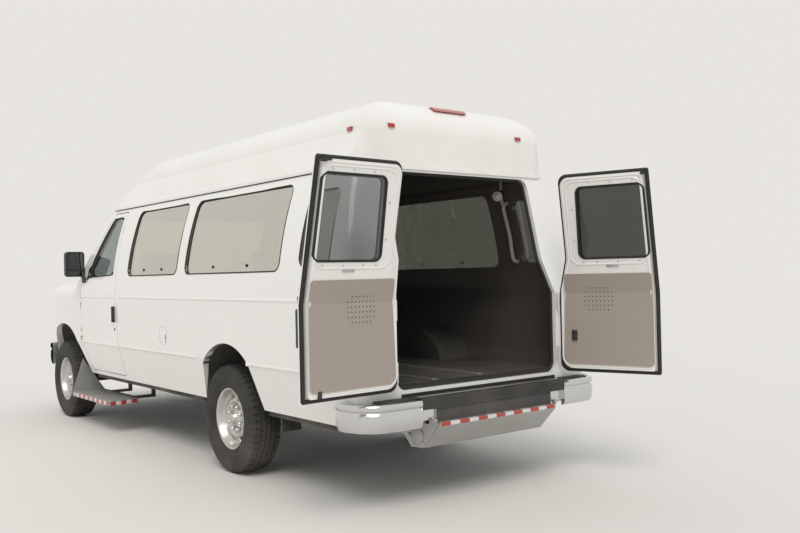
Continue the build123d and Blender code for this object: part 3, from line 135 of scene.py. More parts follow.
def new_group(name, inputs, outputs):
    """An empty shader group with float inputs (name, value) and outputs (name, kind)."""
    group = bpy.data.node_groups.new(name, "ShaderNodeTree")
    for label, value in inputs:
        socket = group.interface.new_socket(label, in_out="INPUT", socket_type="NodeSocketFloat")
        socket.default_value = value
    for label, kind in outputs:
        group.interface.new_socket(label, in_out="OUTPUT", socket_type=kind)
    return group


def node(tree, kind, place, **settings):
    """A node at a place in the editor, with its settings."""
    made = tree.nodes.new(kind)
    made.location = place
    for name, value in settings.items():
        setattr(made, name, value)
    return made


def preset(made, values):
    """Sets the constants of a node's sockets by their labels."""
    for label, value in values.items():
        made.inputs[label].default_value = value


def chain(tree, *pairs):
    """Links sockets in pairs, from an output to an input."""
    for start, end in pairs:
        tree.links.new(start, end)


# %% Group: road dust
dust_group = new_group(
    "road_dust",
    [("Height", 0.75), ("Amount", 0.5), ("Scale", 3.0)],
    [("Dust", "NodeSocketFloat")],
)
g_in = node(dust_group, "NodeGroupInput", (-900, 0))
g_out = node(dust_group, "NodeGroupOutput", (500, 0))
g_place = node(dust_group, "ShaderNodeTexCoord", (-900, -250))
g_split = node(dust_group, "ShaderNodeSeparateXYZ", (-700, -250))
g_noise = node(dust_group, "ShaderNodeTexNoise", (-700, 150))
preset(g_noise, {"Detail": 6.0, "Roughness": 0.62})
g_low = node(dust_group, "ShaderNodeMath", (-450, -200), operation="DIVIDE")
g_fall = node(dust_group, "ShaderNodeMath", (-270, -200), operation="SUBTRACT")
g_fall.inputs[0].default_value = 1.0
g_clamp = node(dust_group, "ShaderNodeClamp", (-90, -200))
g_blend = node(dust_group, "ShaderNodeMath", (80, -50), operation="MULTIPLY")
g_spread = node(dust_group, "ShaderNodeMapRange", (-450, 150))
preset(g_spread, {"From Min": 0.35, "From Max": 0.7})
g_amount = node(dust_group, "ShaderNodeMath", (280, 0), operation="MULTIPLY")
chain(
    dust_group,
    (g_place.outputs["Object"], g_split.inputs[0]),
    (g_place.outputs["Object"], g_noise.inputs["Vector"]),
    (g_in.outputs["Scale"], g_noise.inputs["Scale"]),
    (g_split.outputs["Z"], g_low.inputs[0]),
    (g_in.outputs["Height"], g_low.inputs[1]),
    (g_low.outputs[0], g_fall.inputs[1]),
    (g_fall.outputs[0], g_clamp.inputs["Value"]),
    (g_noise.outputs["Fac"], g_spread.inputs["Value"]),
    (g_clamp.outputs[0], g_blend.inputs[0]),
    (g_spread.outputs[0], g_blend.inputs[1]),
    (g_blend.outputs[0], g_amount.inputs[0]),
    (g_in.outputs["Amount"], g_amount.inputs[1]),
    (g_amount.outputs[0], g_out.inputs["Dust"]),
)

# %% Group: grain
grain_group = new_group(
    "fine_grain",
    [("Scale", 400.0), ("Patch Scale", 6.0)],
    [("Grain", "NodeSocketFloat"), ("Patches", "NodeSocketFloat")],
)
g_in = node(grain_group, "NodeGroupInput", (-700, 0))
g_out = node(grain_group, "NodeGroupOutput", (200, 0))
g_place = node(grain_group, "ShaderNodeTexCoord", (-700, -250))
g_fine = node(grain_group, "ShaderNodeTexNoise", (-400, 150))
preset(g_fine, {"Detail": 3.0})
g_broad = node(grain_group, "ShaderNodeTexNoise", (-400, -150))
preset(g_broad, {"Detail": 5.0})
chain(
    grain_group,
    (g_place.outputs["Object"], g_fine.inputs["Vector"]),
    (g_place.outputs["Object"], g_broad.inputs["Vector"]),
    (g_in.outputs["Scale"], g_fine.inputs["Scale"]),
    (g_in.outputs["Patch Scale"], g_broad.inputs["Scale"]),
    (g_fine.outputs["Fac"], g_out.inputs["Grain"]),
    (g_broad.outputs["Fac"], g_out.inputs["Patches"]),
)
print("shared groups:", [g.name for g in bpy.data.node_groups])

# %% [markdown]
# ## A finish
# Most finishes here differ in five ways: their colour and how it drifts, how rough they are and how
# that drifts, the grain they stand up in, the dust they hold and whether they are metal or coated.
# One function builds that from the two groups, and each finish calls it with its own values. What
# is the same all over the surface is set on the shader's own socket.

# %% Function for a finish
DUST_COLOUR = (0.42, 0.37, 0.30, 1.0)


def blank_material(name):
    """A material with nothing but its shader and output. Gives back the shader too."""
    material = bpy.data.materials.new(name)
    material.use_nodes = True
    tree = material.node_tree
    tree.nodes.clear()
    out = node(tree, "ShaderNodeOutputMaterial", (700, 0))
    shader = node(tree, "ShaderNodeBsdfPrincipled", (400, 0))
    tree.links.new(shader.outputs[0], out.inputs["Surface"])
    return material, tree, shader


def two_shades(tree, colour, drift, place):
    """A mix of a colour a little darker and a little lighter."""
    shade = node(tree, "ShaderNodeMix", place, data_type="RGBA")
    darker = (*[part * (1 - drift) for part in colour], 1.0)
    lighter = (*[min(1.0, part * (1 + drift)) for part in colour], 1.0)
    preset(shade, {"A": darker, "B": lighter})
    return shade


def finish_of(
    name,
    colour,
    drift=0.08,
    rough=0.4,
    rough_drift=0.1,
    metal=0.0,
    coat=0.0,
    grain=400.0,
    grain_height=0.00005,
    patches=6.0,
    dust=0.4,
    dust_height=0.9,
):
    """A procedural finish: drifting colour and roughness, a fine grain in relief and road dust."""
    material, tree, shader = blank_material(name)
    preset(shader, {"Metallic": metal, "Coat Weight": coat, "Coat Roughness": 0.04})
    grains = node(tree, "ShaderNodeGroup", (-600, 0), node_tree=grain_group)
    preset(grains, {"Scale": grain, "Patch Scale": patches})
    dusts = node(tree, "ShaderNodeGroup", (-600, -250), node_tree=dust_group)
    preset(dusts, {"Amount": dust, "Height": dust_height})
    shade = two_shades(tree, colour, drift, (-300, 200))
    dusty = node(tree, "ShaderNodeMix", (-80, 200), data_type="RGBA")
    preset(dusty, {"B": DUST_COLOUR})
    worn = node(tree, "ShaderNodeMapRange", (-300, -100))
    smoothest, roughest = max(0.02, rough - rough_drift), min(1.0, rough + rough_drift)
    preset(worn, {"To Min": smoothest, "To Max": roughest})
    dull = node(tree, "ShaderNodeMath", (-80, -100), operation="ADD", use_clamp=True)
    relief = node(tree, "ShaderNodeBump", (150, -300))
    preset(relief, {"Strength": 0.5, "Distance": grain_height})
    chain(
        tree,
        (grains.outputs["Patches"], shade.inputs["Factor"]),
        (shade.outputs["Result"], dusty.inputs["A"]),
        (dusts.outputs["Dust"], dusty.inputs["Factor"]),
        (dusty.outputs["Result"], shader.inputs["Base Color"]),
        (grains.outputs["Patches"], worn.inputs["Value"]),
        (worn.outputs[0], dull.inputs[0]),
        (dusts.outputs["Dust"], dull.inputs[1]),
        (dull.outputs[0], shader.inputs["Roughness"]),
        (grains.outputs["Grain"], relief.inputs["Height"]),
        (relief.outputs[0], shader.inputs["Normal"]),
    )
    return material


def paint_nodes(material, *names):
    """Gives CAD solids this finish."""
    for name in names:
        nodes[name].data.materials.clear()
        nodes[name].data.materials.append(material)


# %% [markdown]
# ## The finishes
# Fleet white is a slightly warm white under a clear coat. Its life shows in the grime that settles
# low on the sides and in a faint orange peel in the reflections, so those two carry the finish.
# The raised roof is moulded plastic in nearly the same white, duller and with a softer surface.

# %% Paint
body_paint = finish_of(
    "body_paint", (0.80, 0.79, 0.76), drift=0.02, rough=0.22, rough_drift=0.05, coat=0.8,
    grain=55.0, grain_height=0.00010, patches=1.6, dust=0.16, dust_height=0.95,
)
roof_gelcoat = finish_of(
    "roof_gelcoat", (0.81, 0.80, 0.77), drift=0.03, rough=0.34, rough_drift=0.06, coat=0.3,
    grain=30.0, grain_height=0.0002, patches=2.2, dust=0.3, dust_height=3.4,
)
paint_nodes(
    body_paint, "left_side_panel", "right_side_panel", "front_body", "hood", "front_door_left",
    "front_door_right", "side_door_front", "side_door_rear", "rear_door_left", "rear_door_right",
)
paint_nodes(roof_gelcoat, "raised_roof")
print("paint ready")

# %% [markdown]
# Rubber, plastic and iron differ in grain: tyres are nearly black with brown dust in the tread,
# moulded plastic has a fine even texture, and the iron under the floor is dull and dirty.

# %% Rubber, plastics and iron
tyre_rubber = finish_of(
    "tyre_rubber", (0.022, 0.021, 0.020), drift=0.3, rough=0.82, rough_drift=0.08,
    grain=260.0, grain_height=0.0003, patches=9.0, dust=0.22, dust_height=1.0,
)
seal_rubber = finish_of(
    "seal_rubber", (0.012, 0.012, 0.012), drift=0.3, rough=0.6, rough_drift=0.1,
    grain=600.0, grain_height=0.0001, dust=0.15,
)
black_plastic = finish_of(
    "black_plastic", (0.020, 0.020, 0.021), drift=0.25, rough=0.5, rough_drift=0.1,
    grain=900.0, grain_height=0.00012, dust=0.25, dust_height=1.2,
)
frame_black = finish_of(
    "frame_black", (0.020, 0.019, 0.018), drift=0.35, rough=0.7, rough_drift=0.12,
    grain=180.0, grain_height=0.0004, patches=7.0, dust=0.7, dust_height=1.0,
)
axle_iron = finish_of(
    "axle_iron", (0.055, 0.046, 0.040), drift=0.4, rough=0.75, rough_drift=0.12, metal=0.3,
    grain=220.0, grain_height=0.0006, patches=12.0, dust=0.6, dust_height=0.9,
)
engine_iron = finish_of(
    "engine_iron", (0.07, 0.07, 0.072), drift=0.35, rough=0.6, rough_drift=0.15, metal=0.5,
    grain=200.0, grain_height=0.0005, patches=8.0, dust=0.4,
)
exhaust_steel = finish_of(
    "exhaust_steel", (0.20, 0.165, 0.135), drift=0.35, rough=0.55, rough_drift=0.2, metal=0.8,
    grain=240.0, grain_height=0.0003, patches=10.0, dust=0.5, dust_height=0.8,
)
tank_black = finish_of(
    "tank_black", (0.028, 0.027, 0.026), drift=0.3, rough=0.62, rough_drift=0.1,
    grain=260.0, grain_height=0.0003, patches=6.0, dust=0.6, dust_height=1.0,
)
paint_nodes(frame_black, "frame_rails", "frame_crossmembers")
paint_nodes(axle_iron, "front_axle_beam_left", "front_axle_beam_right", "rear_axle")
paint_nodes(axle_iron, "knuckle_left", "knuckle_right")
paint_nodes(engine_iron, "engine_block")
paint_nodes(exhaust_steel, "exhaust")
paint_nodes(tank_black, "fuel_tank")
print("rubber, plastics and iron ready")

# %% [markdown]
# Metals: the wheels are polished and bright with road dust that is thicker low down, the bumpers
# are chromed steel, and the step parts are aluminium sheet that feet have scratched dull.

# %% Metals
wheel_polish = finish_of(
    "wheel_polish", (0.60, 0.595, 0.58), drift=0.10, rough=0.24, rough_drift=0.1, metal=1.0,
    grain=120.0, grain_height=0.00015, patches=14.0, dust=0.3, dust_height=0.9,
)
chrome = finish_of(
    "chrome", (0.66, 0.66, 0.67), drift=0.03, rough=0.09, rough_drift=0.05, metal=1.0,
    grain=60.0, grain_height=0.0001, patches=5.0, dust=0.18, dust_height=1.0,
)
step_aluminium = finish_of(
    "step_aluminium", (0.50, 0.50, 0.49), drift=0.12, rough=0.42, rough_drift=0.14, metal=0.85,
    grain=320.0, grain_height=0.0002, patches=11.0, dust=0.35, dust_height=0.8,
)
step_dark = finish_of(
    "step_dark", (0.055, 0.055, 0.056), drift=0.25, rough=0.6, rough_drift=0.12, metal=0.2,
    grain=420.0, grain_height=0.0003, patches=11.0, dust=0.4, dust_height=0.8,
)
bright_bolt = finish_of(
    "bright_bolt", (0.55, 0.54, 0.52), drift=0.15, rough=0.3, rough_drift=0.12, metal=1.0,
    grain=300.0, grain_height=0.0001, dust=0.3,
)
for corner in ("front_left", "front_right", "rear_left", "rear_right"):
    paint_nodes(wheel_polish, f"rim_{corner}")
    paint_nodes(tyre_rubber, f"tyre_{corner}")
paint_nodes(chrome, "front_bumper", "rear_bumper")
paint_nodes(black_plastic, "rear_bumper_pad", "mirror_left", "mirror_right")
paint_nodes(step_aluminium, "rear_step", "side_step_left", "side_step_right")
print("metals ready")

# %% [markdown]
# Inside, the walls are lined in a dark brown vinyl, a colour that is partly the lining's own and
# partly painted shade of the deep load space; the floor is a hard dark sheet and the door panels
# are a pressed grey board. The seats get their vinyl when they are modelled.

# %% Cabin finishes
floor_sheet = finish_of(
    "floor_sheet", (0.065, 0.062, 0.058), drift=0.25, rough=0.55, rough_drift=0.12,
    grain=350.0, grain_height=0.0003, patches=5.0, dust=0.3, dust_height=1.6,
)
# The lining's dark brown is partly its vinyl and partly painted shade of the deep load space.
lining_vinyl_and_shade = finish_of(
    "lining_vinyl_and_shade", (0.115, 0.102, 0.092), drift=0.25, rough=0.55, rough_drift=0.1,
    grain=500.0, grain_height=0.0003, patches=3.0, dust=0.1,
)
dash_plastic = finish_of(
    "dash_plastic", (0.075, 0.074, 0.072), drift=0.15, rough=0.6, rough_drift=0.1,
    grain=700.0, grain_height=0.0002, dust=0.15, dust_height=2.4,
)
board_grey = finish_of(
    "board_grey", (0.345, 0.295, 0.255), drift=0.05, rough=0.55, rough_drift=0.08,
    grain=600.0, grain_height=0.00015, patches=4.0, dust=0.15, dust_height=2.0,
)
rail_white = finish_of(
    "rail_white", (0.62, 0.58, 0.50), drift=0.05, rough=0.35, rough_drift=0.08,
    grain=200.0, grain_height=0.0001, dust=0.1,
)
paint_nodes(floor_sheet, "floor_pan", "rear_wheelhouses", "front_wheelhouses", "firewall")
paint_nodes(dash_plastic, "dashboard", "steering_wheel", "driver_seat", "passenger_seat")
paint_nodes(board_grey, "rear_door_trim_left", "rear_door_trim_right")
paint_nodes(rail_white, "grab_rail")
paint_nodes(black_plastic, "grille")
print("cabin finishes ready")

# %% [markdown]
# ## Glass and lamps
# The side windows carry a reflecting film, so from outside they mirror the pale surroundings and
# from inside they look dim: one glass shader with a constant share of metal does both. The rear
# doors have plain grey glass and the windscreen is nearly clear. Lamp lenses are tinted clear
# plastic with moulded ribs, which a wave pattern in the normal stands for at their true pitch. The
# same wave darkens the lens colour in the rib hollows, which is painted shade.

# %% Function for glass
GLASS_ROUGH = 0.01
CALM_RIPPLE = 0.00004
CLEAR_RIPPLE = 0.00002


def glass_of(name, tint, drift, ripple=0.0002, film_share=0.0):
    """Tinted glass with faint ripple, patchy dust and, where asked for, a reflecting film."""
    material, tree, shader = blank_material(name)
    preset(shader, {"Transmission Weight": 1.0, "Metallic": film_share, "IOR": 1.5})
    grains = node(tree, "ShaderNodeGroup", (-600, 0), node_tree=grain_group)
    preset(grains, {"Scale": 14.0, "Patch Scale": 3.0})
    shade = two_shades(tree, tint, drift, (-200, 200))
    film = node(tree, "ShaderNodeMapRange", (-200, -50))
    preset(film, {"From Min": 0.45, "To Min": GLASS_ROUGH, "To Max": GLASS_ROUGH + 0.05})
    relief = node(tree, "ShaderNodeBump", (150, -300))
    preset(relief, {"Strength": 0.3, "Distance": ripple})
    chain(
        tree,
        (grains.outputs["Patches"], shade.inputs["Factor"]),
        (shade.outputs["Result"], shader.inputs["Base Color"]),
        (grains.outputs["Patches"], film.inputs["Value"]),
        (film.outputs[0], shader.inputs["Roughness"]),
        (grains.outputs["Grain"], relief.inputs["Height"]),
        (relief.outputs[0], shader.inputs["Normal"]),
    )
    return material


# %% Panes
film_glass = glass_of("film_glass", (0.76, 0.765, 0.69), 0.03, film_share=0.70)
grey_glass = glass_of(
    "grey_glass", (0.30, 0.315, 0.32), 0.12, ripple=CALM_RIPPLE, film_share=0.12
)
tinted_glass = glass_of("tinted_glass", (0.060, 0.064, 0.058), 0.2, ripple=CALM_RIPPLE)
windscreen_glass = glass_of("windscreen_glass", (0.62, 0.68, 0.66), 0.05, ripple=CLEAR_RIPPLE)
cab_glass = glass_of("cab_glass", (0.36, 0.40, 0.39), 0.08, ripple=CLEAR_RIPPLE)
paint_nodes(film_glass, "side_glass", "side_door_front_glass", "side_door_rear_glass")
paint_nodes(grey_glass, "rear_door_glass_left")
paint_nodes(tinted_glass, "rear_door_glass_right")
paint_nodes(cab_glass, "front_door_glass_left", "front_door_glass_right")
paint_nodes(windscreen_glass, "windshield")
print("panes ready")

# %% Lamp lenses
WAVES_PER_UNIT = 20.0


def lens_of(name, colour, pitch):
    """Ribbed lamp plastic: a saturated clear-coated colour with ribs at a pitch in metres, the
    colour darkened in the rib hollows as painted shade and in random patches.
    """
    material, tree, shader = blank_material(name)
    preset(shader, {"Coat Weight": 1.0, "Coat Roughness": 0.03, "IOR": 1.49})
    place = node(tree, "ShaderNodeTexCoord", (-800, 0))
    ribs = node(tree, "ShaderNodeTexWave", (-400, -150), bands_direction="Z")
    preset(ribs, {"Scale": 2 * pi / (WAVES_PER_UNIT * pitch)})
    grains = node(tree, "ShaderNodeGroup", (-600, 200), node_tree=grain_group)
    preset(grains, {"Patch Scale": 25.0})
    shade = node(tree, "ShaderNodeMix", (-100, 200), data_type="RGBA")
    preset(shade, {"A": (*[part * 0.55 for part in colour], 1.0), "B": (*colour, 1.0)})
    # Darker where the ribs' wave is low: painted shade in the rib hollows, times random patches.
    rib_shade_and_mottle = node(tree, "ShaderNodeMath", (-250, 50), operation="MULTIPLY")
    haze = node(tree, "ShaderNodeMapRange", (-100, -50))
    preset(haze, {"To Min": 0.12, "To Max": 0.25})
    relief = node(tree, "ShaderNodeBump", (150, -300))
    preset(relief, {"Strength": 0.8, "Distance": 0.001})
    chain(
        tree,
        (place.outputs["Object"], ribs.inputs["Vector"]),
        (ribs.outputs["Fac"], rib_shade_and_mottle.inputs[0]),
        (grains.outputs["Patches"], rib_shade_and_mottle.inputs[1]),
        (rib_shade_and_mottle.outputs[0], shade.inputs["Factor"]),
        (shade.outputs["Result"], shader.inputs["Base Color"]),
        (grains.outputs["Patches"], haze.inputs["Value"]),
        (haze.outputs[0], shader.inputs["Roughness"]),
        (ribs.outputs["Fac"], relief.inputs["Height"]),
        (relief.outputs[0], shader.inputs["Normal"]),
    )
    return material


red_lens = lens_of("red_lens", (0.55, 0.012, 0.012), 0.008)
clear_lens = lens_of("clear_lens", (0.80, 0.80, 0.78), 0.012)
amber_lens = lens_of("amber_lens", (0.75, 0.22, 0.02), 0.008)
paint_nodes(red_lens, "rear_lamps")
paint_nodes(clear_lens, "head_lamps")
print("finishes:", len(bpy.data.materials))

# %% [markdown]
# ## Tools for the added pieces
# Everything below is shaped in bmesh, Blender's mesh workshop. A few helpers keep the pieces alike:
# one turns a finished bmesh into an object that rides on a body of the mechanism, one makes a
# bevelled bar, one a round bar, one a plate from an outline, and one lays a rubber bead on a path.

# %% Helpers for shaping
SIDES = ((1, "left"), (-1, "right"))
SIDE_WORD = dict(SIDES)
WELD = 0.00001


def piece(name, mesh, finish, body, *replaced, sharp=35.0):
    """An object from a bmesh, welded, with its normals outwards, riding on a body."""
    bmesh.ops.remove_doubles(mesh, verts=mesh.verts, dist=WELD)
    bmesh.ops.recalc_face_normals(mesh, faces=mesh.faces)
    data = bpy.data.meshes.new(name)
    mesh.to_mesh(data)
    mesh.free()
    data.materials.append(finish)
    for face in data.polygons:
        face.use_smooth = True
    data.set_sharp_from_angle(angle=radians(sharp))
    made = bpy.data.objects.new(name, data)
    bpy.context.scene.collection.objects.link(made)
    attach(made, body)
    if replaced:
        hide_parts(*replaced)
    return made


def rounded(mesh, verts, edges, offset, segments=2):
    """Bevels some edges of a shape and gives back the vertices that it has then."""
    made = bmesh.ops.bevel(
        mesh, geom=edges, offset=offset, offset_type="OFFSET", segments=segments, profile=0.5,
        affect="EDGES", clamp_overlap=True, material=-1,
    )
    return list({vert for vert in verts if vert.is_valid} | set(made["verts"]))


def bar(mesh, low, high, bevel=0.002, segments=2):
    """A bevelled box between two corners. Gives back its vertices."""
    size = [b - a for a, b in zip(low, high)]
    middle = [(a + b) / 2 for a, b in zip(low, high)]
    place = Matrix.Translation(middle) @ Matrix.Diagonal((*size, 1.0))
    verts = bmesh.ops.create_cube(mesh, size=1.0, matrix=place)["verts"]
    if bevel:
        edges = list({edge for vert in verts for edge in vert.link_edges})
        verts = rounded(mesh, verts, edges, bevel, segments)
    return verts


def side_bar(mesh, side, low, high, bevel=0.002, segments=2):
    """A bar as it lies on the left side, or its mirror image on the right."""
    low_y, high_y = sorted((side * low[1], side * high[1]))
    return bar(mesh, (low[0], low_y, low[2]), (high[0], high_y, high[2]), bevel, segments)


def round_bar(mesh, start, end, radius, end_radius=None, segments=20, bevel=0.0):
    """A round bar or cone between two points, with its ends closed. Gives back its vertices."""
    start, end = Vector(start), Vector(end)
    along = end - start
    upright = along.to_track_quat("Z", "Y").to_matrix().to_4x4()
    verts = bmesh.ops.create_cone(
        mesh, cap_ends=True, segments=segments, radius1=radius,
        radius2=radius if end_radius is None else end_radius, depth=along.length,
        matrix=Matrix.Translation((start + end) / 2) @ upright,
    )["verts"]
    if bevel:
        edges = {edge for vert in verts for edge in vert.link_edges}
        rims = [edge for edge in edges if any(len(face.verts) > 4 for face in edge.link_faces)]
        verts = rounded(mesh, verts, rims, bevel)
    return verts


def stud(mesh, spot, out, sunk, proud, radius, **shape):
    """A round bar through a surface, sunk and proud by so much, where out is away from it."""
    round_bar(mesh, spot - out * sunk, spot + out * proud, radius, **shape)


def plate(mesh, outline, thickness, bevel=0.0):
    """A flat plate: one face through the points, extruded by a vector. Gives back its vertices."""
    first = mesh.faces.new([mesh.verts.new(point) for point in outline])
    rest = bmesh.ops.extrude_face_region(mesh, geom=[first])["geom"]
    far = [item for item in rest if isinstance(item, bmesh.types.BMVert)]
    bmesh.ops.translate(mesh, verts=far, vec=Vector(thickness))
    verts = list(first.verts) + far
    if bevel:
        edges = {edge for vert in verts for edge in vert.link_edges}
        own = [edge for edge in edges if all(vert in verts for vert in edge.verts)]
        verts = rounded(mesh, verts, own, bevel)
    return verts


def bead(mesh, points, radius, closed=True, rings=2):
    """A round bead of rubber or wire along a path."""
    path = bpy.data.curves.new("path", "CURVE")
    path.dimensions = "3D"
    spline = path.splines.new("POLY")
    spline.points.add(len(points) - 1)
    for spot, point in zip(spline.points, points):
        spot.co = (*point, 1.0)
    spline.use_cyclic_u = closed
    path.bevel_depth = radius
    path.bevel_resolution = rings
    path.use_fill_caps = not closed
    holder = bpy.data.objects.new("path", path)
    mesh.from_mesh(holder.to_mesh())
    holder.to_mesh_clear()
    bpy.data.objects.remove(holder)
    bpy.data.curves.remove(path)


def turn_about(pivot, angle, axis):
    """The matrix of a turn about an axis through a place."""
    pivot = Vector(pivot)
    return Matrix.Translation(pivot) @ Matrix.Rotation(angle, 4, axis) @ Matrix.Translation(-pivot)


# %% Helpers for outlines


def rounded_path(corners, steps=6):
    """A closed outline in two dimensions from corners of (u, v, radius)."""
    points = []
    for index, (u, v, radius) in enumerate(corners):
        here = Vector((u, v))
        back = (Vector(corners[index - 1][:2]) - here).normalized()
        ahead = (Vector(corners[(index + 1) % len(corners)][:2]) - here).normalized()
        half = back.angle(ahead) / 2
        reach = radius / tan(half)
        centre = here + (back + ahead).normalized() * (radius / sin(half))
        start = here + back * reach - centre
        swing = start.angle_signed(here + ahead * reach - centre)
        for step in range(steps + 1):
            turned = start.copy()
            turned.rotate(Matrix.Rotation(-swing * step / steps, 2))
            points.append(centre + turned)
    return points


def fine_path(corners, step=0.05):
    """A closed outline like that, with its straight runs cut up to follow a curved panel."""
    outline = rounded_path(corners, steps=8)
    path = []
    for index, spot in enumerate(outline):
        after = outline[(index + 1) % len(outline)]
        cuts = max(1, int((after - spot).length / step))
        path += [spot.lerp(after, cut / cuts) for cut in range(cuts)]
    return path


def box_corners(u0, u1, v0, v1, radius):
    """The corners of an upright rectangle with one radius."""
    return [(u0, v0, radius), (u1, v0, radius), (u1, v1, radius), (u0, v1, radius)]


# %% [markdown]
# Trim has to lie on curved sheet metal. A ray shot at the solid panels finds where their skin is,
# so a bead or a handle can follow the body without any second description of its curve.

# %% Where the skin is
CARGO_DOORS = ("side_door_front", "side_door_rear", "side_door_front_glass", "side_door_rear_glass")
HALF_WIDTH = 1.008
OUTSIDE = 1.6
BELT_Z = 1.218


def tree_of(*names):
    """A search tree over some solids, joined."""
    joined = bmesh.new()
    for name in names:
        joined.from_mesh(nodes[name].data)
    tree = BVHTree.FromBMesh(joined)
    joined.free()
    return tree


SKINS = {
    side: tree_of(
        f"{label}_side_panel", "front_body", f"front_door_{label}", "side_glass",
        f"front_door_glass_{label}", *(CARGO_DOORS if side < 0 else ()),
    )
    for side, label in SIDES
}


def skin_y(x, z, side):
    """How far out the body's side is at a place."""
    hit = SKINS[side].ray_cast(Vector((x, side * OUTSIDE, z)), Vector((0, -side, 0)))[0]
    return hit.y if hit else side * HALF_WIDTH


def on_side(points, side, proud=0.0):
    """Places on the body's side above points of (x, z)."""
    return [Vector((x, skin_y(x, z, side) + side * proud, z)) for x, z in points]


print("side at the belt:", round(skin_y(0.0, BELT_Z, 1), 4))

# %% [markdown]
# ## Tyres
# A tyre is a ring with a rounded shoulder, a bulging sidewall and a tread of ribs cut by grooves.
# The half section is drawn once as a string of points and spun about the axle. The tread's cross
# cuts are then pressed into every third or fourth slice of the ribs and the shoulder, as a mould
# does, so both the ribs and the zigzag look of the real tread come from the mesh.

# %% Tyre section
TYRE_R = 0.380
TREAD_HALF = 0.097
TREAD_CROWN = 0.009
GROOVE_DEPTH, GROOVE_HALF = 0.009, 0.0042
GROOVES_Y = (-0.057, -0.019, 0.019, 0.057)
GROOVE_FLOOR = 0.6 * GROOVE_HALF
TYRE_SLICES = 192
LEFT_SIDE_WALL = [
    # distance from the middle plane, radius: from the bead to the shoulder
    (0.098, 0.214), (0.104, 0.219), (0.106, 0.228), (0.1045, 0.233), (0.111, 0.248),
    (0.1165, 0.270), (0.1175, 0.292), (0.1165, 0.312), (0.1175, 0.3135), (0.1175, 0.3185),
    (0.1155, 0.320), (0.112, 0.337), (0.108, 0.352), (0.1035, 0.362), (TREAD_HALF, 0.371),
]


def tread_radius(y):
    """The tread is slightly crowned."""
    return TYRE_R - TREAD_CROWN * (abs(y) / TREAD_HALF) ** 2.4


tyre_section = [(-y, r) for y, r in LEFT_SIDE_WALL]
for groove_y in GROOVES_Y:
    for offset, cut in (
        (-GROOVE_HALF, 0.0), (-GROOVE_FLOOR, GROOVE_DEPTH),
        (GROOVE_FLOOR, GROOVE_DEPTH), (GROOVE_HALF, 0.0),
    ):
        y = groove_y + offset
        tyre_section.append((y, tread_radius(y) - cut))
tyre_section += [(y, r) for y, r in reversed(LEFT_SIDE_WALL)]
print("tyre section:", len(tyre_section), "points")

# %% Helpers for spun shapes


def spun(section, slices):
    """A mesh from a string of points spun about the Y axis."""
    mesh = bmesh.new()
    ring = [mesh.verts.new(point) for point in section]
    edges = [mesh.edges.new(pair) for pair in zip(ring, ring[1:])]
    bmesh.ops.spin(
        mesh, geom=ring + edges, cent=(0, 0, 0), axis=(0, 1, 0), angle=2 * pi, steps=slices,
        use_merge=True, use_normal_flip=False, use_duplicate=False,
    )
    bmesh.ops.remove_doubles(mesh, verts=mesh.verts, dist=WELD)
    return mesh


def radius_and_slice(spot, slices):
    """How far a place is from the axle, and in which slice it lies."""
    turned = (atan2(spot.z, spot.x) + pi) / (2 * pi)
    return Vector((spot.x, spot.z)).length, int(turned * slices)


# %% Tyres
LUG_LOW_R, LUG_FROM_Y = 0.350, 0.0625
RIB_DEPTH, RIB_TO_Y = 0.005, 0.053
WHEELS = [
    # name, centre
    ("front_left", Vector((3.505, 0.8815, 0.38))),
    ("front_right", Vector((3.505, -0.8815, 0.38))),
    ("rear_left", Vector((0.0, 0.8535, 0.38))),
    ("rear_right", Vector((0.0, -0.8535, 0.38))),
]


def tyre(name, centre, body, replaced):
    """One tyre, spun about its axle and with its tread cut."""
    mesh = spun([(0.0, y, r) for y, r in tyre_section], TYRE_SLICES)
    bmesh.ops.recalc_face_normals(mesh, faces=mesh.faces)
    lugs, ribs = [], []
    for face in mesh.faces:
        spot = face.calc_center_median()
        radius, place = radius_and_slice(spot, TYRE_SLICES)
        shift = 2 if spot.y > 0 else 0
        if radius > LUG_LOW_R and abs(spot.y) > LUG_FROM_Y and (place + shift) % 4 == 0:
            lugs.append(face)
        elif radius > TYRE_R - RIB_DEPTH and abs(spot.y) < RIB_TO_Y:
            if (place + 1 + round(spot.y * 50)) % 3 == 0:
                ribs.append(face)
    for faces, depth, narrow in ((lugs, 0.007, 0.0022), (ribs, RIB_DEPTH, 0.0046)):
        bmesh.ops.inset_individual(
            mesh, faces=faces, thickness=narrow, depth=0.0, use_even_offset=True
        )
        for face in faces:
            spot = face.calc_center_median()
            inward = Vector((-spot.x, 0.0, -spot.z)).normalized() * depth
            bmesh.ops.translate(mesh, verts=face.verts, vec=inward)
    bmesh.ops.translate(mesh, verts=mesh.verts, vec=centre)
    return piece(name, mesh, tyre_rubber, body, replaced, sharp=28.0)


for word, centre in WHEELS:
    made = tyre(f"tread_{word}", centre, f"wheel_{word}", f"tyre_{word}")
print("one tyre has", len(made.data.polygons), "faces")
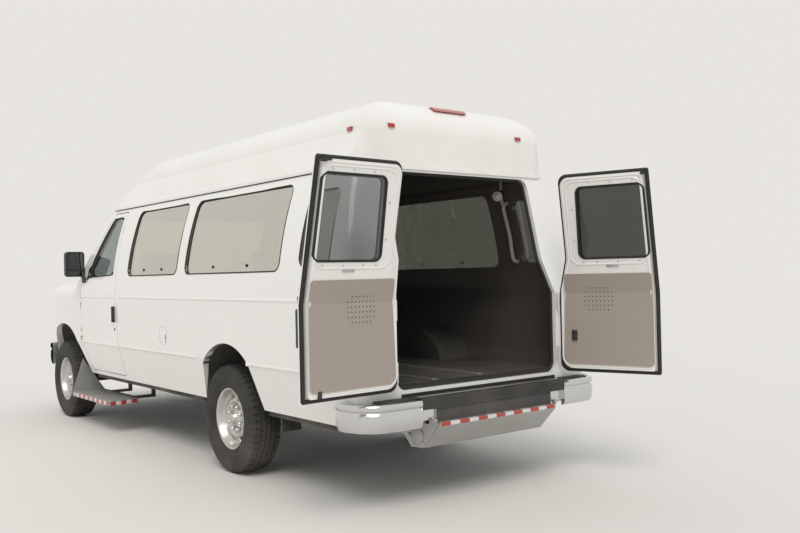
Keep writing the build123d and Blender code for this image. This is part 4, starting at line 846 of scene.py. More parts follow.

# %% [markdown]
# ## Wheel discs
# The wheels wear a polished stamping: a bright disc with a ring of oval openings, a bolt ring with
# domed nuts and a cap over the hub. The disc is one spun section. Each opening is a patch of its
# slices that is inset to an oval and pushed in, which leaves the rolled edge that real ones have.
# The pushed-in patch is flat black, a painted shade for the dark seen through an opening.

# %% Disc section
DISC_SLICES = 96
OPENINGS = 8
SLICES_EACH = DISC_SLICES // OPENINGS
OPENING_R = (0.132, 0.172)
ROUNDED_R = (0.142, 0.163)
FACE_FROM_Y = 0.036
disc_section = [
    # radius, how far out from the wheel's middle plane
    (0.0, 0.090), (0.020, 0.0895), (0.032, 0.086), (0.038, 0.080), (0.040, 0.062), (0.044, 0.058),
    (0.058, 0.056), (0.066, 0.048), (0.072, 0.040), (0.095, 0.039), (0.102, 0.043), (0.112, 0.054),
    (0.122, 0.060), (0.132, 0.058), (0.142, 0.051), (0.153, 0.044), (0.163, 0.040), (0.172, 0.040),
    (0.180, 0.047), (0.188, 0.062), (0.196, 0.084), (0.203, 0.0925), (0.2085, 0.095),
    (0.216, 0.095), (0.2185, 0.092), (0.214, 0.089), (0.206, 0.086), (0.199, 0.074),
    (0.194, 0.050), (0.190, 0.030), (0.190, -0.050), (0.203, -0.080), (0.206, -0.087),
    (0.2165, -0.090), (0.2165, -0.095), (0.210, -0.095), (0.200, -0.088), (0.186, -0.052),
    (0.184, 0.010), (0.176, 0.024), (0.150, 0.028), (0.110, 0.030), (0.090, 0.026),
    (0.060, 0.026), (0.0, 0.026),
]


def in_opening(face, first):
    """Whether a face of the disc is in the oval opening that starts near a slice."""
    spot = face.calc_center_median()
    radius, place = radius_and_slice(spot, DISC_SLICES)
    if spot.y <= FACE_FROM_Y or not OPENING_R[0] < radius < OPENING_R[1]:
        return False
    at_end = place in (first + 3, first + 8)
    return first + 3 <= place < first + 9 and (not at_end or ROUNDED_R[0] < radius < ROUNDED_R[1])


# %% Polished discs and nuts
NUTS = 8
NUT_RING_R = 0.0835
NUT_FOOT, NUT_TOP, NUT_DOME = 0.040, 0.022, 0.029
for word, centre in WHEELS:
    side = 1 if centre.y > 0 else -1
    mesh = spun([(r, y, 0.0) for r, y in disc_section], DISC_SLICES)
    for opening in range(OPENINGS):
        patch = [face for face in mesh.faces if in_opening(face, opening * SLICES_EACH)]
        bmesh.ops.inset_region(
            mesh, faces=patch, thickness=0.004, depth=-0.002, use_even_offset=True
        )
        spots = {vert for face in patch for vert in face.verts}
        bmesh.ops.translate(mesh, verts=list(spots), vec=(0.0, -0.011, 0.0))
        # The pushed-in pocket of each opening takes the second finish, flat black: painted shade in
        # place of the dark seen through a real opening.
        for face in patch:
            face.material_index = 1
    if side < 0:
        bmesh.ops.scale(mesh, verts=mesh.verts, vec=(1.0, -1.0, 1.0))
    bmesh.ops.translate(mesh, verts=mesh.verts, vec=centre)
    disc = piece(
        f"wheel_disc_{word}", mesh, wheel_polish, f"wheel_{word}", f"rim_{word}", sharp=50.0
    )
    # The second finish, flat black, is the painted shade inside the openings.
    disc.data.materials.append(frame_black)

    nuts = bmesh.new()
    out = Vector((0, side, 0))
    for nut in range(NUTS):
        turn = 2 * pi * (nut + 0.5) / NUTS
        spot = centre + Vector((NUT_RING_R * cos(turn), side * NUT_FOOT, NUT_RING_R * sin(turn)))
        top = spot + out * NUT_TOP
        round_bar(nuts, spot, top, 0.0125, segments=6, bevel=0.0015)
        round_bar(nuts, top, spot + out * NUT_DOME, 0.0105, 0.006, segments=16)
    piece(f"wheel_nuts_{word}", nuts, chrome, f"wheel_{word}")
print("wheels dressed:", len(WHEELS))

# %% [markdown]
# ## Window rubbers
# Each fixed pane sits in a rubber that laps both the glass and the sheet metal, and shows as a thin
# dark line. A bead follows the edge of each opening along the skin, half sunk into it. Its depth is
# read a little outside the opening, where there is always metal. Two studs low in each large pane
# are the latches that let it tip out.

# %% Rubbers round the side windows
WINDOW_R = 0.062
PANE_LOW, PANE_TOP, CARGO_PANE_TOP = 1.402, 1.955, 1.930
QUARTER_LOW, QUARTER_TOP = 1.427, 1.890
BESIDE_PANE = 0.014
STUD_UP = 0.045
SIDE_PANES = [
    # name, side, body, rear x, front x, low z, top z
    ("front", 1, "body", 0.758, 1.765, PANE_LOW, PANE_TOP),
    ("middle", 1, "body", -0.788, 0.612, PANE_LOW, PANE_TOP),
    ("quarter", 1, "body", -1.350, -1.020, QUARTER_LOW, QUARTER_TOP),
    ("middle", -1, "body", -0.788, 0.612, PANE_LOW, PANE_TOP),
    ("quarter", -1, "body", -1.350, -1.020, QUARTER_LOW, QUARTER_TOP),
    ("cargo_rear", -1, "side_door_rear", 0.892, 1.1965, PANE_LOW, CARGO_PANE_TOP),
    ("cargo_front", -1, "side_door_front", 1.3535, 1.843, PANE_LOW, CARGO_PANE_TOP),
]
for word, side, body, x0, x1, z0, z1 in SIDE_PANES:
    rubber = bmesh.new()
    path = fine_path(box_corners(x0, x1, z0, z1, WINDOW_R), 0.06)
    centre = Vector(((x0 + x1) / 2, (z0 + z1) / 2))
    places = []
    for spot in path:
        beside = spot + (spot - centre).normalized() * BESIDE_PANE
        places.append(Vector((spot.x, skin_y(*beside, side) - side * 0.0015, spot.y)))
    bead(rubber, places, 0.0050)
    piece(f"rubber_{word}_{SIDE_WORD[side]}", rubber, seal_rubber, body)

    if z0 == PANE_LOW:
        studs = bmesh.new()
        z = z0 + STUD_UP
        for share in (0.32, 0.68):
            x = x0 + (x1 - x0) * share
            spot = Vector((x, skin_y(x, z, side), z))
            stud(studs, spot, Vector((0, side, 0)), 0.002, 0.006, 0.011, bevel=0.002)
        piece(f"latch_studs_{word}_{SIDE_WORD[side]}", studs, seal_rubber, body)
print("window rubbers:", len(SIDE_PANES))

# %% [markdown]
# ## Body lines
# Two pressed creases run the length of the van. The solids carry the lower edge of each; the
# highlight above it in the photograph is a rolled bead a finger wide, so a shallow half-sunk bead
# of the same paint gives that bright line. A dark drip channel closes the joint under the raised
# roof.

# %% Creases
LOW_CREASE_Z = 0.790
SIDE_STEP = 0.03
CREASE_R, CREASE_SUNK, CREASE_TALL = 0.009, 0.0045, 1.6
CREASES = [
    # name, sides, body, rear x, front x, height
    ("belt_rear", (1,), "body", -1.45, 1.955, BELT_Z),
    ("belt_rear", (-1,), "body", -1.45, 0.80, BELT_Z),
    ("belt_door", (1, -1), "front_door", 2.06, 2.94, BELT_Z),
    ("low_rear", (1,), "body", -1.44, -0.36, LOW_CREASE_Z),
    ("low_middle", (1,), "body", 0.43, 1.955, LOW_CREASE_Z),
    ("low_right", (-1,), "body", -1.44, -0.36, LOW_CREASE_Z),
    ("low_door", (1, -1), "front_door", 1.99, 2.93, LOW_CREASE_Z),
]


def side_line(x0, x1, z):
    """Places along the side at one height."""
    count = int((x1 - x0) / SIDE_STEP)
    return [(x0 + (x1 - x0) * i / count, z) for i in range(count + 1)]


for word, sides, body, x0, x1, z in CREASES:
    for side in sides:
        label = SIDE_WORD[side]
        crease = bmesh.new()
        path = on_side(side_line(x0, x1, z), side, -CREASE_SUNK)
        bead(crease, path, CREASE_R, closed=False, rings=3)
        bmesh.ops.scale(
            crease, verts=crease.verts, vec=(1.0, 1.0, CREASE_TALL),
            space=Matrix.Translation((0, 0, -z)),
        )
        rides = body if body == "body" else f"{body}_{label}"
        piece(f"crease_{word}_{label}", crease, body_paint, rides)
print("creases:", len(CREASES))

# %% Drip channel and dark bands under the sills
GUTTER_Y, GUTTER_Z = 0.838, 2.0105
for side, label in SIDES:
    channel = bmesh.new()
    gutter = [Vector((x, side * GUTTER_Y, z)) for x, z in side_line(-1.28, 2.42, GUTTER_Z)]
    bead(channel, gutter, 0.007, closed=False)
    piece(f"drip_channel_{label}", channel, seal_rubber, "body")
    # Under each sill a black strip gives the dark band seen below the white sill.
    for word, x0, x1 in (("rear", -1.45, -0.50), ("middle", 0.46, 2.76)):
        strip = bmesh.new()
        side_bar(strip, side, (x0, 0.88, 0.452), (x1, 0.915, 0.489), 0.004)
        piece(f"under_sill_band_{word}_{label}", strip, frame_black, "body")
print("channels and strips done")

# %% [markdown]
# ## Filler door, handles and locks
# The fuel door is a thin ring-shaped gap with a small hinge in it. Door handles are dark upright
# grips with a lock below. All sit on the skin, found by the same ray.

# %% Fuel door
FUEL_X, FUEL_Z, FUEL_R = 1.005, 0.925, 0.074
FUEL_STEPS = 40
gap = bmesh.new()
turns = [2 * pi * i / FUEL_STEPS for i in range(FUEL_STEPS)]
circle = [(FUEL_X + FUEL_R * cos(turn), FUEL_Z + FUEL_R * sin(turn)) for turn in turns]
bead(gap, on_side(circle, 1, -0.0004), 0.0010)
piece("fuel_door_gap", gap, dash_plastic, "body")
hinge = bmesh.new()
for x, z, wide, tall in ((0.962, 0.912, 0.010, 0.040), (0.955, 0.876, 0.006, 0.014)):
    y = skin_y(x, z, 1)
    low = (x - wide / 2, y - 0.004, z - tall / 2)
    bar(hinge, low, (x + wide / 2, y + 0.002, z + tall / 2), 0.0012)
piece("fuel_door_hinge", hinge, seal_rubber, "body")
print("fuel door", 2 * FUEL_R, "m across")

# %% Handles and locks
HANDLE_OUT_Y = 1.0300
for side, label in SIDES:
    handle = bmesh.new()
    sunk_y = side * skin_y(2.09, 1.07, side) - 0.004
    side_bar(handle, side, (2.0485, sunk_y, 0.9965), (2.0735, HANDLE_OUT_Y, 1.1365), 0.004, 3)
    piece(f"handle_grip_{label}", handle, black_plastic, f"front_door_{label}")
    lock = bmesh.new()
    spot = Vector((2.06, skin_y(2.06, 0.935, side), 0.934))
    stud(lock, spot, Vector((0, side, 0)), 0.003, 0.004, 0.011, segments=24, bevel=0.002)
    piece(f"door_lock_{label}", lock, black_plastic, f"front_door_{label}")
cargo = bmesh.new()
y = skin_y(1.335, 1.07, -1)
bar(cargo, (1.318, y - 0.020, 1.01), (1.346, y + 0.004, 1.13), 0.006, 3)
low, high = (1.332, y - 0.004, 0.94), (1.332, y + 0.003, 0.94)
round_bar(cargo, low, high, 0.011, segments=24, bevel=0.002)
piece("cargo_handle", cargo, black_plastic, "side_door_front")
print("handles done")

# %% [markdown]
# ## Rear doors
# Both rear doors stand open, so their inner faces are what the photograph shows: a white pressed
# frame, a black rubber all round, a pane in its own rubber, a grey board with a patch of punched
# holes, and dark latches. Each piece is laid out on the shut door, where its measures are simple,
# and is then turned about the hinge by the door's own angle.

# %% The door as shut
HINGE_X, HINGE_Y = -1.595, 0.700
DOOR_TURN = {1: radians(-176.0), -1: radians(108.0)}
WALL = 0.045
BOARD_FACE = WALL + 0.006
REAR_X = -1.580
LEAN, LEAN_TALL = 0.180, 0.792
IN = Vector((1, 0, 0))


def wall_x(z):
    """The rear wall's outer face: upright to the belt, then leaning forward."""
    return REAR_X + max(0.0, z - BELT_Z) * LEAN / LEAN_TALL


def hang(name, mesh, finish, side):
    """Turns a piece laid out on the shut door to where the door stands, and fixes it there."""
    turn = turn_about((HINGE_X, side * HINGE_Y, 0.0), DOOR_TURN[side], "Z")
    bmesh.ops.transform(mesh, matrix=turn, verts=mesh.verts)
    piece(name, mesh, finish, f"rear_door_{SIDE_WORD[side]}")


def door_path(corners, side, depth):
    """A closed path on the shut door from (distance from the middle, height, radius)."""
    return [Vector((wall_x(z) + depth, side * y, z)) for y, z in fine_path(corners, 0.08)]


# %% Outlines on the door
HEM = [
    (0.0165, 0.7105, 0.012), (0.6645, 0.7105, 0.055), (0.6645, 1.222, 0.08),
    (0.597, 1.446, 0.08), (0.588, 1.976, 0.055), (0.0165, 1.976, 0.012),
]
LIP = [
    (y + (0.010 if y > 0.1 else -0.010), z + (0.009 if z > 1.9 else -0.009 if z < 0.8 else 0), r)
    for y, z, r in HEM
]
PANE = [(0.036, 1.443, 0.04), (0.500, 1.443, 0.04), (0.475, 1.897, 0.04), (0.036, 1.897, 0.04)]
BOARD = [(0.034, 0.750, 0.035), (0.640, 0.750, 0.055), (0.620, 1.345, 0.02), (0.034, 1.345, 0.02)]
PANE_PRESSING = [
    (0.052, 1.405, 0.055), (0.560, 1.405, 0.06), (0.545, 1.935, 0.06), (0.052, 1.935, 0.055),
]
DOOR_PRESSING = [
    (0.047, 0.737, 0.04), (0.648, 0.737, 0.06), (0.648, 1.235, 0.06),
    (0.575, 1.445, 0.07), (0.566, 1.952, 0.05), (0.047, 1.952, 0.03),
]
BEADS = [
    # name, finish, then for each bead: outline, depth, radius, rings
    ("door_seal", seal_rubber, [(HEM, 0.0165, 0.0108, 3)]),
    ("door_seal_lip", seal_rubber, [(LIP, 0.0125, 0.0045, 2)]),
    (
        "door_pane_rubber", seal_rubber,
        [(PANE, WALL - 0.0015, 0.0070, 2), (PANE, 0.038, 0.0060, 2), (PANE, 0.001, 0.0065, 2)],
    ),
    (
        "door_pressing", body_paint,
        [(PANE_PRESSING, WALL - 0.0035, 0.007, 3), (DOOR_PRESSING, WALL - 0.0045, 0.008, 3)],
    ),
    ("board_rim", rail_white, [(BOARD, WALL + 0.002, 0.0042, 2)]),
]

# %% Rubbers, pressings and board rims
for side, label in SIDES:
    for word, finish, runs in BEADS:
        mesh = bmesh.new()
        for corners, depth, radius, rings in runs:
            bead(mesh, door_path(corners, side, depth), radius, rings=rings)
        hang(f"{word}_{label}", mesh, finish, side)
print("beads on each rear door:", sum(len(runs) for _, _, runs in BEADS))

# %% Punched holes, screws and latches
HOLES_Y, HOLES_Z = 0.3925, 1.1800
HOLE_STEP_Y, HOLE_STEP_Z = 0.0265, 0.0285
HOLE_ROWS = (6, 8, 8, 8, 8, 6)
SCREWS = [
    # distance from the middle, height
    (0.10, 1.918), (0.24, 1.920), (0.38, 1.918), (0.10, 1.422), (0.24, 1.420), (0.38, 1.421),
    (0.47, 1.421), (0.518, 1.56), (0.512, 1.76), (0.06, 1.325), (0.33, 1.330), (0.60, 1.325),
    (0.06, 0.775), (0.33, 0.768), (0.605, 0.775),
]
LEVER_Y, LEVER_Z = 0.279, 1.3975
BOARD_TOP, BOARD_LOW = 1.345, 0.75
LATCHES = {
    # distance from the middle, height, width, height of the piece, how far it stands out
    1: [
        (0.030, 1.955, 0.032, 0.016, 0.020), (0.062, 1.960, 0.040, 0.010, 0.012),
        (0.100, 0.741, 0.026, 0.040, 0.012),
    ],
    -1: [
        (0.560, 0.940, 0.036, 0.068, 0.012), (0.560, 0.965, 0.020, 0.014, 0.022),
        (0.030, 1.955, 0.028, 0.016, 0.014),
    ],
}
for side, label in SIDES:
    holes = bmesh.new()
    for row, reach in enumerate(HOLE_ROWS):
        for column in range(reach):
            y = HOLES_Y + (column - (reach - 1) / 2) * HOLE_STEP_Y
            z = HOLES_Z + (row - (len(HOLE_ROWS) - 1) / 2) * HOLE_STEP_Z
            spot = Vector((wall_x(z) + BOARD_FACE, side * y, z))
            stud(holes, spot, IN, 0.002, 0.0006, 0.0042, segments=8)
    hang(f"board_holes_{label}", holes, seal_rubber, side)

    screws = bmesh.new()
    for y, z in SCREWS:
        face = BOARD_FACE if z < BOARD_TOP else WALL
        spot = Vector((wall_x(z) + face, side * y, z))
        stud(screws, spot, IN, 0.003, 0.0022, 0.0055, segments=14, bevel=0.001)
    hang(f"door_screws_{label}", screws, bright_bolt, side)

    pads = bmesh.new()
    face = wall_x(LEVER_Z) + WALL
    side_bar(
        pads, side, (face - 0.004, LEVER_Y - 0.042, LEVER_Z - 0.013),
        (face + 0.0035, LEVER_Y + 0.042, LEVER_Z + 0.013), 0.003,
    )
    hang(f"lever_pad_{label}", pads, step_aluminium, side)

    latches = bmesh.new()
    for y, z, wide, tall, out in LATCHES[side]:
        face = wall_x(z) + (BOARD_FACE if BOARD_LOW < z < BOARD_TOP else WALL - 0.002)
        side_bar(
            latches, side, (face - 0.002, y - wide / 2, z - tall / 2),
            (face + out, y + wide / 2, z + tall / 2), 0.003,
        )
    hang(f"door_latches_{label}", latches, black_plastic, side)
print("holes in each board:", sum(HOLE_ROWS))

# %% Outer handle and blank plate
handle = bmesh.new()
bar(handle, (-1.618, 0.012, 0.990), (-1.578, 0.060, 1.195), 0.008, 3)
bar(handle, (-1.608, 0.020, 1.235), (-1.578, 0.044, 1.262), 0.005)
round_bar(handle, (-1.600, 0.036, 1.30), (-1.572, 0.036, 1.30), 0.009, segments=16, bevel=0.002)
hang("rear_handle", handle, black_plastic, 1)
number_plate = bmesh.new()
bar(number_plate, (-1.5895, 0.17, 0.86), (-1.5795, 0.50, 1.03), 0.004, 3)
hang("blank_plate", number_plate, rail_white, 1)
print("rear doors dressed")

# %% [markdown]
# The doorway itself has a fatter tube of black rubber pushed on its flange, which the doors press
# against, and a ribbed sill cover along the floor's edge.

# %% Doorway rubber and sill
LEFT_JAMB = [(0.676, 0.698, 0.06), (0.676, 1.222, 0.08), (0.607, 1.448, 0.08), (0.600, 1.988, 0.06)]
right_jamb = [(-y, z, radius) for y, z, radius in reversed(LEFT_JAMB)]
doorway = bmesh.new()
bead(doorway, door_path(LEFT_JAMB + right_jamb, 1, 0.036), 0.0105, rings=3)
piece("doorway_rubber", doorway, seal_rubber, "body")
SILL_RIBS, SILL_RIB_STEP = 7, 0.016
sill = bmesh.new()
bar(sill, (-1.545, -0.66, 0.6925), (-1.43, 0.66, 0.7005), 0.003)
for row in range(SILL_RIBS):
    x = -1.535 + row * SILL_RIB_STEP
    bar(sill, (x - 0.003, -0.652, 0.700), (x + 0.003, 0.652, 0.7035), 0.0012)
piece("sill_cover", sill, black_plastic, "body")
print("doorway done")

# %% [markdown]
# ## Lining
# The load space is lined in dark vinyl, so from behind the van looks like a dark room; the
# lining's dark is partly its own colour and partly painted shade of the deep load space, and on the
# side panels it also covers the window reveals. Each lining is peeled off the panel it covers: a
# copy of the panel keeps only the faces that look inwards, moves a hair off the metal and is given
# a thickness.

# %% Linings from the panels
LINING_GAP, LINING_THICK = 0.002, 0.0015
DOOR_WALL = 0.030


def lining(name, body, finish, source, keep):
    """A thin skin over those faces of a solid that a test keeps."""
    mesh = bmesh.new()
    mesh.from_mesh(nodes[source].data)
    bmesh.ops.remove_doubles(mesh, verts=mesh.verts, dist=2 * WELD)
    away = [face for face in mesh.faces if not keep(face.calc_center_median(), face.normal)]
    bmesh.ops.delete(mesh, geom=away, context="FACES")
    for vert in mesh.verts:
        vert.normal_update()
    shifts = [(vert, vert.normal.copy()) for vert in mesh.verts]
    for vert, normal in shifts:
        vert.co += normal * LINING_GAP
    bmesh.ops.solidify(mesh, geom=mesh.faces[:], thickness=LINING_THICK)
    return piece(name, mesh, finish, body)


def inside_wall(side):
    """A test for the faces of a side panel that look into the van."""

    def keep(spot, normal):
        if spot.x < wall_x(spot.z) + 0.040 or spot.z < 0.45:
            return False
        depth = abs(skin_y(spot.x, spot.z, side)) - abs(spot.y)
        wall = DOOR_WALL if spot.z < 0.95 else 0.007
        return depth > wall and abs(normal.y) * 0.012 < depth

    return keep


def inside_door(side, out_to, low_z):
    """A test for the faces of a door that lie deeper than its wall."""

    def keep(spot, normal):
        if side * spot.y >= out_to or spot.z <= low_z:
            return False
        return side * spot.y < abs(skin_y(spot.x, spot.z, side)) - DOOR_WALL

    return keep


def under_roof(spot, normal):
    """Whether a face of the roof looks down and inwards."""
    outwards = Vector((0.0, spot.y, spot.z - 1.7))
    return spot.z > 2.012 and normal.dot(outwards) < 0.0


for side, label in SIDES:
    lining(f"lining_{label}", "body", lining_vinyl_and_shade, f"{label}_side_panel", inside_wall(side))
lining("lining_roof", "body", lining_vinyl_and_shade, "raised_roof", under_roof)
for word in ("front", "rear"):
    door = f"side_door_{word}"
    lining(f"lining_{door}", door, lining_vinyl_and_shade, door, inside_door(-1, 1.02, 0.0))
for side, label in SIDES:
    door = f"front_door_{label}"
    lining(f"lining_{door}", door, dash_plastic, door, inside_door(side, OUTSIDE, 0.56))
print("linings done")

# %% [markdown]
# ## Fittings in the load space
# The van's own fittings show in the doorway: a round dome lamp and a strap by the rear pillar, the
# top of the grab rail, two bright tracks along the floor and the ribs of the floor sheet.

# %% Dome lamp, rail top and strap
LAMP_AT = Vector((-1.10, -0.640, 1.915))
LAMP_LOOK = Vector((-0.45, 0.75, -0.30)).normalized()
LAMP_PARTS = [
    # name, finish, sunk, proud, radius, end radius, segments, bevel
    ("rim", rail_white, 0.0, 0.030, 0.036, 0.036, 40, 0.006),
    ("lens", clear_lens, -0.026, 0.040, 0.028, 0.020, 40, 0.004),
    ("foot", black_plastic, 0.05, 0.004, 0.03, 0.03, 24, 0.0),
]
for word, finish, sunk, proud, radius, end_radius, segments, bevel in LAMP_PARTS:
    lamp = bmesh.new()
    shape = {"end_radius": end_radius, "segments": segments, "bevel": bevel}
    stud(lamp, LAMP_AT, LAMP_LOOK, sunk, proud, radius, **shape)
    piece(f"dome_lamp_{word}", lamp, finish, "body")
RAIL_X = -0.990
RAIL_TOP = [(-0.792, 1.862), (-0.784, 1.900), (-0.777, 1.960), (-0.776, 2.030), (-0.790, 2.060)]
rail = bmesh.new()
bead(rail, [Vector((RAIL_X, y, z)) for y, z in RAIL_TOP], 0.0125, closed=False, rings=4)
piece("grab_rail_top", rail, rail_white, "body")
strap = bmesh.new()
bar(strap, (-1.315, -0.800, 1.800), (-1.275, -0.795, 1.995), 0.001)
bar(strap, (-1.322, -0.806, 1.745), (-1.268, -0.786, 1.815), 0.006, 3)
piece("wall_strap", strap, black_plastic, "body")
print("lamp, rail top and strap done")

# %% Floor tracks and ribs
TRACK_Y = 0.20
FLOOR_RIBS, RIB_STEP, RIB_FROM_Y = 24, 0.0539, -0.62
BY_SEATS_Y = 0.35
tracks = bmesh.new()
for y in (-TRACK_Y, TRACK_Y):
    bar(tracks, (-1.35, y - 0.024, 0.6945), (0.55, y + 0.024, 0.7000))
    bar(tracks, (-1.34, y - 0.007, 0.6990), (0.54, y + 0.007, 0.7035), 0.0015)
piece("floor_tracks", tracks, step_aluminium, "body")
ribs = bmesh.new()
for row in range(FLOOR_RIBS):
    y = RIB_FROM_Y + row * RIB_STEP
    if min(abs(y - TRACK_Y), abs(y + TRACK_Y)) > 0.03:
        end_x = 2.30 if abs(y) > BY_SEATS_Y else 1.95
        bar(ribs, (-1.42, y - 0.006, 0.6940), (end_x, y + 0.006, 0.6972), 0.0014, 1)
piece("floor_ribs", ribs, floor_sheet, "body")
print("floor done")

# %% [markdown]
# ## Seats
# The cab seats are upholstered pads. Each pad starts as a rounded block, is remeshed evenly and
# blown up a little with cloth pressure, then the sewn channels are pressed in. The simulation makes
# the crown between the corners that no bevel gives.

# %% Seat vinyl
seat_vinyl = finish_of(
    "seat_vinyl", (0.105, 0.100, 0.094), drift=0.12, rough=0.55, rough_drift=0.1,
    grain=800.0, grain_height=0.00022, patches=9.0, dust=0.0,
)
print("seat vinyl ready")

# %% Helpers for stuffing a pad
VOXEL = 0.006
PRESSURE = 4.0
LAST_FRAME = 20
CROWN = 0.012
CHANNELS = (-0.10, 0.0, 0.10)
CHANNEL_HALF, CHANNEL_DEPTH = 0.016, 0.010


def settled(made):
    """The mesh that an object's modifiers give now."""
    depsgraph = bpy.context.evaluated_depsgraph_get()
    return bpy.data.meshes.new_from_object(made.evaluated_get(depsgraph))


def stuff(made, flat):
    """Blows a pad up with cloth pressure and caps how far each point has moved."""
    start = [vert.co.copy() for vert in flat.vertices]
    cloth = made.modifiers.new("stuffing", "CLOTH")
    cloth.settings.use_pressure = True
    cloth.settings.uniform_pressure_force = PRESSURE
    cloth.settings.effector_weights.gravity = 0.0
    cloth.settings.quality = 4
    for frame_number in range(1, LAST_FRAME + 1):
        bpy.context.scene.frame_set(frame_number)
    moved = [vert.co.copy() for vert in settled(made).vertices]
    made.modifiers.clear()
    bpy.context.scene.frame_set(1)
    for vert, before, after in zip(flat.vertices, start, moved):
        shift = after - before
        if shift.length > CROWN:
            shift *= CROWN / shift.length
        vert.co = before + shift


def press_channels(mesh, middle):
    """Draws a pad in along its sewn channels."""
    for vert in mesh.verts:
        for channel in CHANNELS:
            away = abs(vert.co.y - middle.y - channel)
            if away < CHANNEL_HALF:
                pull = CHANNEL_DEPTH * (1.0 - away / CHANNEL_HALF) ** 2
                vert.co += (middle - vert.co).normalized() * pull


def pad(name, low, high, lean, pivot, replaced):
    """A stuffed pad between two corners, leant back about a pivot."""
    mesh = bmesh.new()
    bar(mesh, low, high, min(b - a for a, b in zip(low, high)) * 0.30, 4)
    data = bpy.data.meshes.new(name)
    mesh.to_mesh(data)
    mesh.free()
    made = bpy.data.objects.new(name, data)
    bpy.context.scene.collection.objects.link(made)
    remesh = made.modifiers.new("even", "REMESH")
    remesh.mode = "VOXEL"
    remesh.voxel_size = VOXEL
    flat = settled(made)
    made.modifiers.clear()
    made.data = flat
    stuff(made, flat)
    mesh = bmesh.new()
    mesh.from_mesh(flat)
    press_channels(mesh, Vector([(a + b) / 2 for a, b in zip(low, high)]))
    bmesh.ops.transform(mesh, matrix=turn_about(pivot, lean, "Y"), verts=mesh.verts)
    bmesh.ops.smooth_vert(
        mesh, verts=mesh.verts, factor=0.3, use_axis_x=True, use_axis_y=True, use_axis_z=True
    )
    mesh.to_mesh(flat)
    mesh.free()
    flat.materials.append(seat_vinyl)
    for face in flat.polygons:
        face.use_smooth = True
    finer = made.modifiers.new("finer", "SUBSURF")
    finer.levels = finer.render_levels = 1
    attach(made, "body")
    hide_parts(replaced)


# %% Seats
PAD_HALF = 0.205
for label, y in (("driver", 0.56), ("passenger", -0.56)):
    low_y, high_y = y - PAD_HALF, y + PAD_HALF
    seat = f"{label}_seat"
    cushion = (2.072, low_y, 0.962), (2.420, high_y, 1.050)
    pad(f"{label}_cushion", *cushion, radians(-1.0), (2.25, y, 1.0), seat)
    back = (2.090, low_y, 1.062), (2.180, high_y, 1.625)
    pad(f"{label}_back", *back, radians(-12.0), (2.135, y, 1.06), seat)
    mount = bmesh.new()
    bar(mount, (2.122, y - 0.148, 0.6955), (2.368, y + 0.148, 0.966), 0.02, 3)
    bar(mount, (2.100, y - 0.19, 0.948), (2.400, y + 0.19, 0.970), 0.008)
    piece(f"{label}_seat_base", mount, dash_plastic, "body", seat)
print("seats done")

# %% [markdown]
# ## Bumpers and steps
# The rear bumper is bright metal with ribbed black pads along its top where feet go. Under it is a
# fold-down step of tread plate between two side arms, its edge taped red and white. The side step
# under the front door has the same tape along its outer edge. Both tapes follow the edges of the
# solids.

# %% Tapes
tape_red = finish_of(
    "tape_red", (0.42, 0.020, 0.018), drift=0.10, rough=0.32, coat=0.5, grain=600.0, dust=0.18
)
tape_white = finish_of(
    "tape_white", (0.66, 0.65, 0.62), drift=0.06, rough=0.32, coat=0.5, grain=600.0, dust=0.18
)
STRIPE_GAP = 0.02
SIDE_TAPE_Z = 0.2640
SIDE_TAPE_TALL = (0, 0, 0.033)


def taped(name, start, end, thick, tall, count):
    """A run of red and white tape between two places, as thin plates."""
    start, end, tall = Vector(start), Vector(end), Vector(tall)
    for colour, finish, offset in (("red", tape_red, 0), ("white", tape_white, 1)):
        mesh = bmesh.new()
        for stripe in range(offset, count, 2):
            a = start.lerp(end, (stripe + STRIPE_GAP) / count)
            b = start.lerp(end, (stripe + 1 - STRIPE_GAP) / count)
            plate(mesh, [a, b, b + tall, a + tall], thick, 0.0003)
        piece(f"{name}_{colour}", mesh, finish, "body")


REAR_TAPES = [
    # name, x, height, thickness, height or breadth of the tape
    ("rear_step_tape", -1.7305, 0.4815, (-0.0010, 0, 0), (0, 0, 0.0200)),
    ("rear_step_top_tape", -1.7295, 0.5032, (0, 0, 0.0008), (0.020, 0, 0)),
]
for name, x, z, thick, tall in REAR_TAPES:
    taped(name, (x, -0.486, z), (x, 0.486, z), thick, tall, 13)
for side, label in SIDES:
    start, end = (2.075, side * 1.0655, SIDE_TAPE_Z), (2.925, side * 1.0685, SIDE_TAPE_Z)
    taped(f"side_step_tape_{label}", start, end, (0, side * 0.0010, 0), SIDE_TAPE_TALL, 14)
for side, label in SIDES:
    start, end = (2.0565, side * 1.052, SIDE_TAPE_Z), (2.0985, side * 0.800, SIDE_TAPE_Z)
    taped(f"side_step_end_tape_{label}", start, end, (-0.0012, 0, 0), SIDE_TAPE_TALL, 5)
print("tapes done")

# %% [markdown]
# Each bumper is a pressed skin. Its section, with the rolled step that catches the light, is
# carried along the bumper's plan, which is two arcs, and the open strip is then given a wall.

# %% Helpers for bumper skins
SKIN_WALL = 0.0016
PLAN_MIDDLE_X = 1.3


def arc_points(start, middle, end, count):
    """Places along the arc through three points in plan."""
    (ax, ay), (bx, by), (cx, cy) = start, middle, end
    a, b, c = ax**2 + ay**2, bx**2 + by**2, cx**2 + cy**2
    twice_area = 2 * (ax * (by - cy) + bx * (cy - ay) + cx * (ay - by))
    ux = (a * (by - cy) + b * (cy - ay) + c * (ay - by)) / twice_area
    uy = (a * (cx - bx) + b * (ax - cx) + c * (bx - ax)) / twice_area
    radius = sqrt((ax - ux) ** 2 + (ay - uy) ** 2)
    first, last = atan2(ay - uy, ax - ux), atan2(cy - uy, cx - ux)
    swing = (last - first + pi) % (2 * pi) - pi
    turns = [first + swing * i / count for i in range(count + 1)]
    return [(ux + radius * cos(turn), uy + radius * sin(turn)) for turn in turns]


